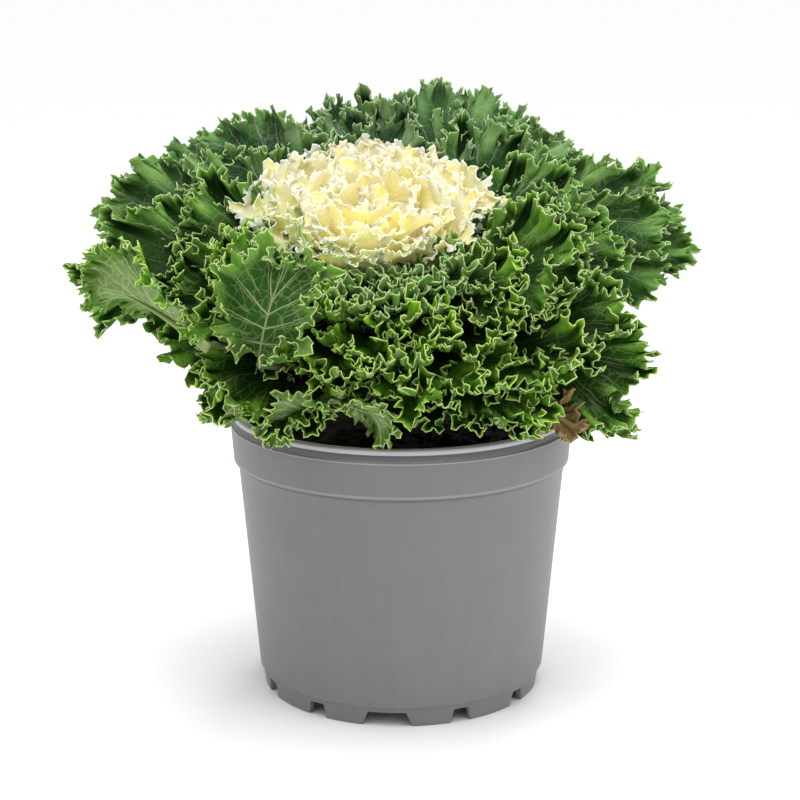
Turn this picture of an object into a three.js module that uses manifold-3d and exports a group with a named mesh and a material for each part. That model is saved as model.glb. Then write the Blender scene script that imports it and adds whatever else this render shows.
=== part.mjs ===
// Ornamental kale in a plastic nursery pot.
// Millimetres, +Z up. The origin is on the floor, under the axis of the pot; the plant leans towards -Y.
import * as THREE from "three";
import { mergeVertices } from "three/addons/utils/BufferGeometryUtils.js";
import Module from "manifold-3d";

const wasm = await Module();
wasm.setup();

// ---------------------------------------------------------------- driving dimensions

// Pot: a 14 cm nursery pot.
const POT_RADIUS = 70; // outside, at the edge line under the lip
const POT_HEIGHT = 115;
const POT_SIDES = 40;
const LIP_WIDTH = 4;
const LIP_DEPTH = 4; // from the top of the lip down to the edge line
const BAND_DEPTH = 15; // from the edge line down to the step
const BAND_TAPER = 1;
const STEP_IN = 1.9;
const SKIN = 1.7; // wall thickness
const LIP_SET_BACK = 1; // the lip stands this far inside the edge line
const LIP_ROUND = 1.2; // how far the corners of the lip are taken off
const EDGE_ROUND = 0.5; // the same at the edge line and at the step
const FOOT_RADIUS = 57.5;
const FOOT_HEIGHT = 8.5;
const FOOT_WALL = 2.2;
const BASE_UNDERSIDE = 6.5; // the base plate is raised off the floor
const NOTCH_HEIGHT = 6;
const NOTCH_COUNT = 12;
const NOTCH_FIRST = -95.7; // degrees from +X; every third notch is a wide one
const NARROW_NOTCH = [8.5, 6]; // degrees at the floor and at the top
const WIDE_NOTCH = [20, 15];
const NOTCH_SLOT = 14; // length of the slot that cuts a notch
const NOTCH_START = 6; // the slot starts this far outside the foot
const DRAIN_RADIUS = 4;
const DRAIN_CIRCLE = 40;
const DRAIN_COUNT = 6;
const DRAIN_SIDES = 8;

// Peat
const PEAT_LEVEL = 105;
const PEAT_MOUND = 3; // the peat rises this much to the stem
const PEAT_SIDES = 24;
const PEAT_EDGE = 6; // width of the hollow that the peat leaves along the wall

// Plant
const CROWN = new THREE.Vector3(-12, -3, 168); // where the upper leaves spread from the stem
const LEAN = 26; // degrees, the axis of the crown tips towards -Y
const LOWER_WHORL = new THREE.Vector3(-7, 0, 150); // where the lowest leaves leave the stem
const LOWER_LEAN = 8;
const HEART = new THREE.Vector3(-11, 4, 173); // the tip of the stem, under the heart
const HEART_LEAN = 24;
const STEM_FOOT = new THREE.Vector3(-4, 2, 62); // the stem's lower end, in the peat
const STEM_RADIUS = 8;
const STEM_SIDES = 10;
const HOLE_SIDES = 16;
const GAP = 0.3; // between pieces that touch
const TIDY = 0.05; // slivers thinner than this are merged
const BLADE = 1.0; // thickness of a leaf blade
const RIB = 3.2; // how far the midrib stands out under the blade, at its root
const SWEEP = 0.9 * Math.PI; // the margin starts and ends this far round from the tip
const RIB_SHARE = 0.8; // the share of the blade's length along which rays leave the midrib
const INNER_SHARE = 0.56; // where the row of points between the midrib and the margin runs
const TIP_WIDER = 0.12; // the blade is this much wider towards the tip
const CREST_OUT = 0.04; // a crest of the ruffle stands out this share of the ray
const TILING = 20; // degrees that each blade is turned about its midrib, to lie over the next one
const SEED = 20;

// The head is the stem's widened end, in the frame of the crown; [radius, height] pairs.
const HEAD_PROFILE = [[0, -44], [12, -41], [26, -30], [36, -14], [40, 2], [40, 8], [0, 8]];
// The core is the part of the heart that its leaves stand on, in the heart's own frame.
const CORE_PROFILE = [[0, 2], [18, 2], [26, 12], [24, 20], [12, 26], [0, 27]];
// The space that the heart fills: a wide bowl, open upwards.
const HEART_BOWL = [[18, 2], [36, 10], [50, 22], [56, 36], [57, 70]];
const BOWL_SIDES = 24;

// Leaves are listed as [turn, reach, tip, root, arch, width]. turn: degrees round the axis, from +X. reach and tip:
// distance from the axis and height over the whorl where the leaf ends. root: height on the stem. arch: how far the
// leaf rises over its tip on the way. width: of the blade.
const LEAF_FIELDS = ["turn", "reach", "tip", "root", "arch", "width"];

// The lowest leaves hang over the rim of the pot, all the way round.
const LOWER_LEAVES = [
  [-14, 104, -29, -8, 34, 60],
  [-58, 88, -12, -16, 12, 58],
  [-120, 89, -11, -10, 10, 58],
  [152, 88, 4, -16, 26, 62],
  [98, 86, 4, -8, 26, 62],
  [42, 90, -2, -12, 28, 62],
];
// The large leaves spread from the crown.
const LARGE_LEAVES = [
  [185, 119, 10, -28, 18, 64],
  [164, 120, 10, -32, 16, 70],
  [143, 120, 12, -28, 18, 70],
  [121, 102, 20, -32, 10, 68],
  [99, 94, 24, -28, 8, 66],
  [76, 98, 32, -32, 6, 70],
  [56, 110, 28, -28, 10, 70],
  [36, 120, 18, -32, 14, 66],
  [14, 145, 12, -28, 8, 58],
  [352, 102, -12, -32, 22, 66],
  [333, 110, -12, -28, 18, 66],
  [309, 101, 2, -32, 2, 62],
  [286, 97, 10, -28, -6, 60],
  [262, 94, 12, -32, -8, 60],
  [238, 94, 10, -28, -6, 60],
  [213, 98, 8, -32, 4, 62],
  [66, 104, -16, -36, 16, 66],
];
// Shorter, tightly frilled leaves stand over the large ones, as a collar round the heart.
const COLLAR_LEAVES = [
  [8, 92, 18, -8, 12, 62],
  [38, 90, 24, -4, 6, 62],
  [68, 80, 32, -8, 0, 58],
  [98, 78, 34, -4, -2, 58],
  [128, 80, 30, -8, 0, 60],
  [158, 82, 26, -4, 6, 60],
  [188, 78, 24, -8, 8, 58],
  [218, 71, 27, -4, -4, 54],
  [248, 69, 27, -8, -8, 52],
  [278, 70, 26, -4, -8, 52],
  [308, 76, 24, -8, -4, 54],
  [338, 86, 20, -4, 4, 58],
];
// Two leaves follow no whorl. The front fan turned its blade up to face forward and has a stalk of its own, a thin
// prism that sags on its way from the stem. The pale side leaf is rolled so far that it shows its lower face.
const FRONT_FAN_FOOT = new THREE.Vector3(-55, -82, 152);
const FRONT_FAN = [60, 16, 40, 0, -19, 46];
const STALK_START = new THREE.Vector3(-5, 0, 138);
const STALK_SAG = 25; // the middle of the stalk's curve lies this far under the foot of the fan
const STALK_RADIUS = 2.2;
const STALK_SIDES = 4;
const PALE_SIDE = [189, 121, 25, -14, -8, 46];
const PALE_SIDE_ROLL = 52; // degrees about its midrib

// The heart's leaves follow one another at the golden angle, from the middle outwards.
const HEART_COUNT = 21;
const HEART_RADIUS = 51;
const HEART_HEIGHT = 41;
const HEART_CROWDING = 0.42; // under 0.5 the leaves stand closer together towards the rim
const HEART_FALL = 9; // the outermost leaves end this much lower
const GOLDEN_TURN = 137.508;

// What the leaves of a whorl share. rootRadius: how far from the axis they start. knee: the share of the reach where
// they bend. cup: degrees that the sides of the blade rise. petiole: the share of the length without a blade.
// droop: how far the margin falls. waves: crests round the margin, an even number. ruffle: how far a crest stands
// off the blade. inner: whether a row of points runs between the midrib and the margin.
const GREEN = { rootRadius: 6, knee: 0.45, cup: 12, petiole: 0.22, petioleHalf: 4.5, droop: 6, roll: TILING };
const LOWER = { ...GREEN, waves: 6, ruffle: 6, inner: false };
const LARGE = { ...GREEN, waves: 8, ruffle: 6.5, inner: true };
const COLLAR = { ...GREEN, waves: 6, ruffle: 5.5, inner: false };
const FAN = { ...GREEN, rootRadius: 0, knee: 0.3, petiole: 0.06, waves: 6, ruffle: 3, inner: false };
const CREAM = { rootRadius: 3, knee: 0.85, cup: 18, petiole: 0.3, petioleHalf: 4, droop: 0, roll: TILING };
const HEART_LEAF = { ...CREAM, waves: 4, ruffle: 3.5, inner: false };

// ---------------------------------------------------------------- helpers

const rad = THREE.MathUtils.degToRad;
const lerp = THREE.MathUtils.lerp;

// Numbers between 0 and 1, the same ones on every run.
function seeded(seed) {
  let state = seed >>> 0;
  return () => {
    state = (Math.imul(state, 1664525) + 1013904223) >>> 0;
    return state / 4294967296;
  };
}

// A closed three.js geometry as a manifold-3d solid.
function solid(geometry) {
  const bare = geometry.clone();
  bare.deleteAttribute("normal");
  bare.deleteAttribute("uv");
  const merged = mergeVertices(bare, 1e-4);
  return new wasm.Manifold(
    new wasm.Mesh({
      numProp: 3,
      vertProperties: new Float32Array(merged.attributes.position.array),
      triVerts: new Uint32Array(merged.index.array),
    }),
  );
}

// The largest body of a solid: loose scraps and sealed hollows are left out.
function largestBody(made) {
  return made.decompose().reduce((best, body) => (body.volume() > best.volume() ? body : best));
}

function meshOf(name, made, look) {
  const data = made.getMesh();
  const geometry = new THREE.BufferGeometry();
  geometry.setAttribute("position", new THREE.BufferAttribute(new Float32Array(data.vertProperties), 3));
  geometry.setIndex(new THREE.BufferAttribute(new Uint32Array(data.triVerts), 1));
  geometry.computeVertexNormals();
  const mesh = new THREE.Mesh(geometry, new THREE.MeshStandardMaterial(look));
  mesh.name = name;
  return mesh;
}

// A profile of [radius, height] pairs, turned about +Z, or about the axis of a frame.
function turned(profile, sides, frame = new THREE.Matrix4()) {
  const points = profile.map(([radius, height]) => new THREE.Vector2(radius, height));
  const geometry = new THREE.LatheGeometry(points, sides);
  geometry.rotateX(Math.PI / 2).applyMatrix4(frame);
  return solid(geometry);
}

// A regular polygon with its corners on a circle.
function ringShape(radius, sides) {
  const shape = new THREE.Shape();
  for (let i = 0; i < sides; i += 1) {
    const angle = (i * 2 * Math.PI) / sides;
    const corner = [radius * Math.cos(angle), radius * Math.sin(angle)];
    if (i === 0) shape.moveTo(...corner);
    else shape.lineTo(...corner);
  }
  return shape;
}

// ---------------------------------------------------------------- pot and peat

// The radius of the tapered wall's outside at a height.
function wallRadius(height) {
  const stepHeight = POT_HEIGHT - LIP_DEPTH - BAND_DEPTH;
  const top = POT_RADIUS - BAND_TAPER - STEP_IN;
  return lerp(FOOT_RADIUS + STEP_IN, top, (height - FOOT_HEIGHT) / (stepHeight - FOOT_HEIGHT));
}

function potProfile() {
  const edge = POT_HEIGHT - LIP_DEPTH;
  const step = edge - BAND_DEPTH;
  const lipOuter = POT_RADIUS - LIP_SET_BACK;
  const lipInner = lipOuter - LIP_WIDTH;
  const floorTop = BASE_UNDERSIDE + SKIN;
  return [
    [0, BASE_UNDERSIDE],
    [FOOT_RADIUS - FOOT_WALL, BASE_UNDERSIDE],
    [FOOT_RADIUS - FOOT_WALL, 0],
    [FOOT_RADIUS, 0],
    [FOOT_RADIUS + 1, FOOT_HEIGHT - 0.6],
    [wallRadius(FOOT_HEIGHT), FOOT_HEIGHT],
    [wallRadius(step), step],
    [POT_RADIUS - BAND_TAPER - EDGE_ROUND, step + EDGE_ROUND / 2],
    [POT_RADIUS - BAND_TAPER, step + 2 * EDGE_ROUND],
    [POT_RADIUS, edge],
    [lipOuter, edge + EDGE_ROUND],
    [lipOuter, POT_HEIGHT - LIP_ROUND],
    [lipOuter - LIP_ROUND, POT_HEIGHT],
    [lipInner + LIP_ROUND, POT_HEIGHT],
    [lipInner, POT_HEIGHT - LIP_ROUND],
    [POT_RADIUS - SKIN - EDGE_ROUND, edge - EDGE_ROUND],
    [POT_RADIUS - BAND_TAPER - SKIN, step + SKIN],
    [wallRadius(step) - SKIN, step],
    [wallRadius(floorTop) - SKIN, floorTop],
    [0, floorTop],
  ];
}

// A notch in the foot: a tapered slot that runs from inside the foot wall to outside it.
function notch([floorAngle, topAngle], turn) {
  const outline = new THREE.Shape();
  const reach = FOOT_RADIUS + NOTCH_START;
  const floorHalf = reach * Math.tan(rad(floorAngle / 2));
  const topHalf = reach * Math.tan(rad(topAngle / 2));
  outline.moveTo(-floorHalf, -1);
  outline.lineTo(floorHalf, -1);
  outline.lineTo(topHalf, NOTCH_HEIGHT);
  outline.lineTo(-topHalf, NOTCH_HEIGHT);
  const slot = new THREE.ExtrudeGeometry(outline, { depth: NOTCH_SLOT, bevelEnabled: false });
  slot.translate(0, 0, -reach); // the slot's length now lies along -Z, from reach inwards
  slot.rotateX(Math.PI / 2); // outline height to +Z, length to +Y
  slot.rotateZ(rad(turn) - Math.PI / 2);
  return solid(slot);
}

function drainHole(turn, circle) {
  const hole = new THREE.CylinderGeometry(DRAIN_RADIUS, DRAIN_RADIUS, 6 * SKIN, DRAIN_SIDES);
  hole.rotateX(Math.PI / 2);
  hole.translate(circle * Math.cos(rad(turn)), circle * Math.sin(rad(turn)), BASE_UNDERSIDE);
  return solid(hole);
}

function makePot() {
  let pot = turned(potProfile(), POT_SIDES);
  for (let i = 0; i < NOTCH_COUNT; i += 1) {
    const turn = NOTCH_FIRST + (i * 360) / NOTCH_COUNT;
    pot = pot.subtract(notch(i % 3 === 0 ? WIDE_NOTCH : NARROW_NOTCH, turn));
  }
  for (let i = 0; i < DRAIN_COUNT; i += 1) {
    pot = pot.subtract(drainHole((i * 360) / DRAIN_COUNT, DRAIN_CIRCLE));
  }
  pot = pot.subtract(drainHole(0, 0));
  return meshOf("pot", pot, { color: 0x7d7f85, roughness: 0.55, metalness: 0 });
}

function makePeat() {
  const floor = BASE_UNDERSIDE + SKIN + GAP;
  const step = POT_HEIGHT - LIP_DEPTH - BAND_DEPTH;
  const side = (height) => wallRadius(height) - SKIN - GAP;
  const bandInside = POT_RADIUS - BAND_TAPER - SKIN - 2 * GAP;
  const profile = [
    [0, floor],
    [side(floor), floor],
    [side(step), step],
    [bandInside - EDGE_ROUND, step + 2 * SKIN],
    [bandInside - EDGE_ROUND, PEAT_LEVEL - PEAT_MOUND / 2],
    [bandInside - PEAT_EDGE, PEAT_LEVEL],
    [bandInside / 2, PEAT_LEVEL + PEAT_MOUND * 0.6],
    [0, PEAT_LEVEL + PEAT_MOUND],
  ];
  const holeDepth = POT_HEIGHT - STEM_FOOT.z + GAP;
  const holeRadius = (STEM_RADIUS + GAP) / Math.cos(Math.PI / HOLE_SIDES);
  const hole = new THREE.CylinderGeometry(holeRadius, holeRadius, holeDepth, HOLE_SIDES);
  hole.rotateX(Math.PI / 2);
  hole.translate(STEM_FOOT.x, STEM_FOOT.y, STEM_FOOT.z - GAP + holeDepth / 2);
  const peat = turned(profile, PEAT_SIDES).subtract(solid(hole));
  return meshOf("peat", peat, { color: 0x1d1712, roughness: 1, metalness: 0 });
}

// ---------------------------------------------------------------- one leaf

// A point of the leaf, in the crown's frame. along: 0 at the root, 1 at the tip of the blade; across: millimetres
// to the side of the midrib; off: millimetres over the blade. The midrib is a curve of three control points in
// the upright plane that faces leaf.turn, and the sides of the blade rise by leaf.cup.
function leafPoint(leaf, along, across, off) {
  const root = new THREE.Vector2(leaf.rootRadius, leaf.root);
  const knee = new THREE.Vector2(lerp(leaf.rootRadius, leaf.reach, leaf.knee), leaf.tip + leaf.arch);
  const tip = new THREE.Vector2(leaf.reach, leaf.tip);
  const midrib = new THREE.QuadraticBezierCurve(root, knee, tip);
  const at = midrib.getPoint(along);
  const heading = midrib.getTangent(Math.min(along, 1));
  const outwards = new THREE.Vector3(Math.cos(rad(leaf.turn)), Math.sin(rad(leaf.turn)), 0);
  const up = new THREE.Vector3(0, 0, 1);
  const forward = outwards.clone().multiplyScalar(heading.x).addScaledVector(up, heading.y);
  const side = new THREE.Vector3(-outwards.y, outwards.x, 0);
  const roll = rad(leaf.roll) * along;
  side.applyAxisAngle(forward, roll);
  const normal = forward.clone().cross(side);
  const lift = Math.abs(across) * Math.sin(rad(leaf.cup));
  return outwards
    .clone()
    .multiplyScalar(at.x)
    .addScaledVector(up, at.y)
    .addScaledVector(side, across * Math.cos(rad(leaf.cup)))
    .addScaledVector(normal, lift + off);
}

// The blade is a fan: its margin runs from one side of the petiole round the tip to the other side. Every crest of
// the ruffle is one point of the margin, off the blade, and every trough one on it.
function leafSolid(leaf, random, frame) {
  const places = [];
  const faces = [];
  const ribs = [];
  const add = (along, across, off, rib) => {
    places.push(leafPoint(leaf, along, across, off).applyMatrix4(frame));
    ribs.push(rib);
    return places.length - 1;
  };
  const halfWidth = leaf.width / 2;
  const petiole = leaf.petiole;
  const petioleHalf = leaf.petioleHalf;
  const waves = leaf.waves;

  // One point of the fan: turn is -1 at one side of the petiole, 0 at the tip and 1 at the other side; share is 0
  // on the midrib and 1 on the margin.
  const fan = (turn, share, ruffle) => {
    const angle = turn * SWEEP;
    const blade = 1 - petiole;
    const marginAlong = petiole + blade * (0.5 + 0.5 * Math.cos(angle));
    const marginAcross = halfWidth * Math.sin(angle) * (1 + TIP_WIDER * Math.cos(angle));
    const ribAlong = petiole + blade * RIB_SHARE * (1 - Math.abs(turn));
    const reachOut = 1 + CREST_OUT * ruffle * share;
    const along = Math.min(lerp(ribAlong, marginAlong, share * reachOut), 1.06);
    const fall = -leaf.droop * share * share * Math.max(0, Math.cos(angle / 2));
    return add(along, marginAcross * share * reachOut, fall + leaf.ruffle * ruffle * share, 0);
  };

  const rootMiddle = add(0, 0, 0, 1);
  const rootLeft = add(0, -petioleHalf, 0, 0.6);
  const rootRight = add(0, petioleHalf, 0, 0.6);
  const half = waves / 2;
  const midrib = [];
  for (let i = 0; i <= half; i += 1) {
    const along = petiole + (1 - petiole) * RIB_SHARE * (i / half);
    midrib.push(add(along, 0, 0, 0.8 * (1 - i / half) + 0.15));
  }
  const rib = (i) => midrib[Math.min(i, waves - i)];
  const inner = [];
  const margin = [];
  for (let i = 0; i <= 2 * waves; i += 1) {
    const turn = i / waves - 1;
    const ends = i === 0 || i === 2 * waves;
    const crest = (0.75 + 0.5 * random()) * (i % 2 === 0 ? -0.8 : 1);
    margin.push(fan(turn, 1, ends ? 0 : crest));
    if (i % 2 === 0) inner.push(leaf.inner ? fan(turn, INNER_SHARE, 0) : rib(i / 2));
  }
  const face = (a, b, c) => {
    if (a !== b && b !== c && c !== a) faces.push([a, c, b]);
  };
  for (let i = 0; i < waves; i += 1) {
    const [a, b, c] = [margin[2 * i], margin[2 * i + 1], margin[2 * i + 2]];
    face(inner[i], a, b);
    face(inner[i], b, inner[i + 1]);
    face(inner[i + 1], b, c);
    if (leaf.inner) {
      face(rib(i), inner[i], inner[i + 1]);
      face(rib(i), inner[i + 1], rib(i + 1));
    }
  }
  face(rootMiddle, rootLeft, margin[0]);
  face(rootMiddle, margin[0], inner[0]);
  face(rootMiddle, inner[0], midrib[0]);
  face(rootMiddle, midrib[0], inner[waves]);
  face(rootMiddle, inner[waves], margin[2 * waves]);
  face(rootMiddle, margin[2 * waves], rootRight);
  const rim = [rootMiddle, rootLeft, ...margin, rootRight];
  return thickened(places, faces, rim.reverse(), ribs);
}

// Both faces of the blade have the same triangles, moved apart along the normals, with a wall round the rim.
function thickened(places, faces, rim, ribs) {
  const normals = places.map(() => new THREE.Vector3());
  for (const [a, b, c] of faces) {
    const ab = places[b].clone().sub(places[a]);
    const ac = places[c].clone().sub(places[a]);
    const normal = ab.cross(ac);
    for (const corner of [a, b, c]) normals[corner].add(normal);
  }
  normals.forEach((normal) => normal.normalize());
  const count = places.length;
  const position = new Float32Array(6 * count);
  places.forEach((place, i) => {
    const top = place.clone().addScaledVector(normals[i], BLADE / 2);
    const under = place.clone().addScaledVector(normals[i], -BLADE / 2 - RIB * ribs[i]);
    position.set(top.toArray(), 3 * i);
    position.set(under.toArray(), 3 * (count + i));
  });
  const index = [];
  for (const [a, b, c] of faces) index.push(a, b, c, count + a, count + c, count + b);
  rim.forEach((a, i) => {
    const b = rim[(i + 1) % rim.length];
    index.push(b, a, count + a, b, count + a, count + b);
  });
  const geometry = new THREE.BufferGeometry();
  geometry.setAttribute("position", new THREE.BufferAttribute(position, 3));
  geometry.setIndex(index);
  return solid(geometry);
}

// ---------------------------------------------------------------- the plant

// A group at a place on the stem, its axis tipped towards -Y.
function whorl(place, lean) {
  const group = new THREE.Group();
  group.position.copy(place);
  group.rotation.x = rad(lean);
  group.updateMatrixWorld(true);
  return group;
}

const crown = whorl(CROWN, LEAN);
const fanFoot = whorl(FRONT_FAN_FOOT, 0);
const lowerWhorl = whorl(LOWER_WHORL, LOWER_LEAN);
const heart = whorl(HEART, HEART_LEAN);

// One solid for each row of a list of leaves, in the frame of a whorl.
function makeLeaves(list, shared, frame, random) {
  return list.map((row) => {
    const leaf = { ...shared };
    LEAF_FIELDS.forEach((field, i) => {
      leaf[field] = row[i];
    });
    return leafSolid(leaf, random, frame.matrixWorld);
  });
}

function heartList() {
  const list = [];
  for (let i = 0; i < HEART_COUNT; i += 1) {
    const share = ((i + 0.6) / HEART_COUNT) ** HEART_CROWDING;
    const tip = HEART_HEIGHT - HEART_FALL * share * share;
    list.push([i * GOLDEN_TURN, HEART_RADIUS * share, tip, 4, -14 + 6 * share, lerp(20, 40, share)]);
  }
  return list;
}

// The space that the heart fills, round the tip of the stem; spread moves its wall outwards.
function heartSpace(spread) {
  const wall = HEART_BOWL.map(([radius, height]) => [radius + spread, height - spread]);
  const [first, last] = [wall[0], wall[wall.length - 1]];
  return turned([[0, first[1]], ...wall, [0, last[1]]], BOWL_SIDES, heart.matrixWorld);
}

// The stem: upright in the peat, then bent into the crown, where it widens into the head that the leaves stand on.
function stem() {
  const peatTop = new THREE.Vector3(STEM_FOOT.x, STEM_FOOT.y, PEAT_LEVEL + 12);
  const bend = new THREE.Vector3(STEM_FOOT.x, STEM_FOOT.y, PEAT_LEVEL + 34);
  const path = new THREE.CurvePath();
  path.add(new THREE.LineCurve3(STEM_FOOT, peatTop));
  path.add(new THREE.QuadraticBezierCurve3(peatTop, bend, CROWN));
  const section = ringShape(STEM_RADIUS, STEM_SIDES);
  const tube = new THREE.ExtrudeGeometry(section, { steps: 10, extrudePath: path, bevelEnabled: false });
  return [solid(tube), turned(HEAD_PROFILE, STEM_SIDES, crown.matrixWorld)];
}

// The front fan's stalk, a thin prism from the stem to the foot of the blade.
function stalk() {
  const sag = STALK_START.clone().lerp(FRONT_FAN_FOOT, 0.77);
  sag.z = FRONT_FAN_FOOT.z - STALK_SAG;
  const path = new THREE.QuadraticBezierCurve3(STALK_START, sag, FRONT_FAN_FOOT);
  const section = ringShape(STALK_RADIUS, STALK_SIDES);
  return solid(new THREE.ExtrudeGeometry(section, { steps: 3, extrudePath: path, bevelEnabled: false }));
}

function makeLeafyStem(random) {
  const leaves = [
    ...makeLeaves(LOWER_LEAVES, LOWER, lowerWhorl, random),
    ...makeLeaves(LARGE_LEAVES, LARGE, crown, random),
    ...makeLeaves(COLLAR_LEAVES, COLLAR, crown, random),
    ...makeLeaves([FRONT_FAN], FAN, fanFoot, random),
    ...makeLeaves([PALE_SIDE], { ...LOWER, roll: PALE_SIDE_ROLL }, lowerWhorl, random),
    stalk(),
  ];
  const whole = wasm.Manifold.union([...stem(), ...leaves]).subtract(heartSpace(GAP));
  const tidied = largestBody(whole.simplify(TIDY));
  return meshOf("leafy_stem", tidied, { color: 0x3f7a33, roughness: 0.6, metalness: 0 });
}

function makeHeart(random) {
  const core = turned(CORE_PROFILE, STEM_SIDES, heart.matrixWorld);
  const leaves = makeLeaves(heartList(), HEART_LEAF, heart, random);
  const whole = wasm.Manifold.union([core, ...leaves]).intersect(heartSpace(0));
  const tidied = largestBody(whole.simplify(TIDY));
  return meshOf("heart_leaves", tidied, { color: 0xefe7b4, roughness: 0.6, metalness: 0 });
}

const random = seeded(SEED);
const kale = new THREE.Group();
kale.add(makePot(), makePeat(), makeLeafyStem(random), makeHeart(random));

export default kale;
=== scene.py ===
# %% [markdown]
# # An ornamental kale in its nursery pot
#
# The plant is one woody stem with three sorts of leaves: large green ones that hang over the pot and spread
# from the crown, a collar of shorter and tighter ones, and the pale heart on the tip. All of them are one
# idea, a flat fan whose margin grew too long for it and folded up. So the lesson is mostly about one function
# that folds a margin, and about tables that say where each leaf stands. The frame gives the room that every
# node has.

# %% Load the frame
import math

import bpy
import numpy as np
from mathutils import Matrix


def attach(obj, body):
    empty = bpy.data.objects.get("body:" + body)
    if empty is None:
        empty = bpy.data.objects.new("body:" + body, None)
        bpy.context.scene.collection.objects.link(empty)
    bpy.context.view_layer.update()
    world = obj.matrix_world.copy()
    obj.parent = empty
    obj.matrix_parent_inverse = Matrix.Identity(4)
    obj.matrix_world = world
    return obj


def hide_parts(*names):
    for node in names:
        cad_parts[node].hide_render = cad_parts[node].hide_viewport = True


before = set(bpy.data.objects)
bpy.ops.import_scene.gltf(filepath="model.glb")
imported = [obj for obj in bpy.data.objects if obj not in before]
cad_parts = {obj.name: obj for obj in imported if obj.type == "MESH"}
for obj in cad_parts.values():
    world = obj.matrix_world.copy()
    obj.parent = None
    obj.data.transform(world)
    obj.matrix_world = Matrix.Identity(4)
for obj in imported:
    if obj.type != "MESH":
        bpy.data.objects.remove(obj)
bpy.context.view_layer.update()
MM = 0.001
print("nodes in the frame:", ", ".join(sorted(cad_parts)))

# %% [markdown]
# ## The studio
#
# A plant for sale stands on white, in light that comes from everywhere. A white world does most of that: it
# leaves the gaps between the leaves dark by itself, because little of it gets in. A large lamp overhead adds
# the soft shadow round the foot, and two weak ones light the back and the right. The camera looks down on the
# plant by about 13 degrees through a long lens, so the pot's walls stay nearly parallel.

# %% The camera
LENS = 84.1
SENSOR = 36.0
CAMERA_DISTANCE = 0.76805
CAMERA_PITCH = math.radians(13.41)
CAMERA_TARGET = (0.0, 0.0, 0.11923)
SIDE_SHIFT = -0.0016


def placed(name, data):
    """A new object of this data, in the scene."""
    item = bpy.data.objects.new(name, data)
    bpy.context.collection.objects.link(item)
    return item


def add_camera():
    """The camera stands at the distance from the target, in front of it and raised by the pitch."""
    data = bpy.data.cameras.new("camera")
    data.lens, data.sensor_width, data.shift_x = LENS, SENSOR, SIDE_SHIFT
    camera = placed("camera", data)
    back = CAMERA_DISTANCE * math.cos(CAMERA_PITCH)
    lift = CAMERA_DISTANCE * math.sin(CAMERA_PITCH)
    camera.location = (CAMERA_TARGET[0], CAMERA_TARGET[1] - back, CAMERA_TARGET[2] + lift)
    camera.rotation_euler = (math.pi / 2 - CAMERA_PITCH, 0, 0)
    bpy.context.scene.camera = camera
    return camera


camera = add_camera()
print("camera at", tuple(round(value, 3) for value in camera.location))

# %% Lamps and the white world
SKY_LOW = 0.30
SKY_HIGH = 1.45
LAMPS = {
    # name: place in metres, size in metres, watts
    "overhead": ((-0.10, -0.22, 1.28), 0.75, 7.5),
    "from_behind": ((0.3, 0.9, 0.9), 0.5, 3.0),
    "from_right": ((0.85, -0.45, 0.40), 0.5, 1.6),
}


def add_lamp(name, place, size, power):
    """A square lamp that faces the plant."""
    data = bpy.data.lights.new(name, "AREA")
    data.size, data.energy = size, power
    lamp = placed(name, data)
    lamp.location = place
    aim = [target - start for target, start in zip(CAMERA_TARGET, place)]
    across = math.hypot(aim[0], aim[1])
    lamp.rotation_euler = (math.atan2(across, -aim[2]), 0, math.atan2(aim[1], aim[0]) - math.pi / 2)


for name, (place, size, power) in LAMPS.items():
    add_lamp(name, place, size, power)
bpy.context.scene.view_settings.view_transform = "Standard"
print(len(LAMPS), "lamps")

# %% [markdown]
# ## Writing finishes as sums
#
# A finish is a net of nodes, and most of its nodes only do arithmetic. It is easier to read as Python: this
# class wraps one socket, and adding, subtracting or multiplying it adds the Math node for it. Everything
# else, from a noise to the shader itself, comes from its one method, which takes the node's settings and its
# inputs.

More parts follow.
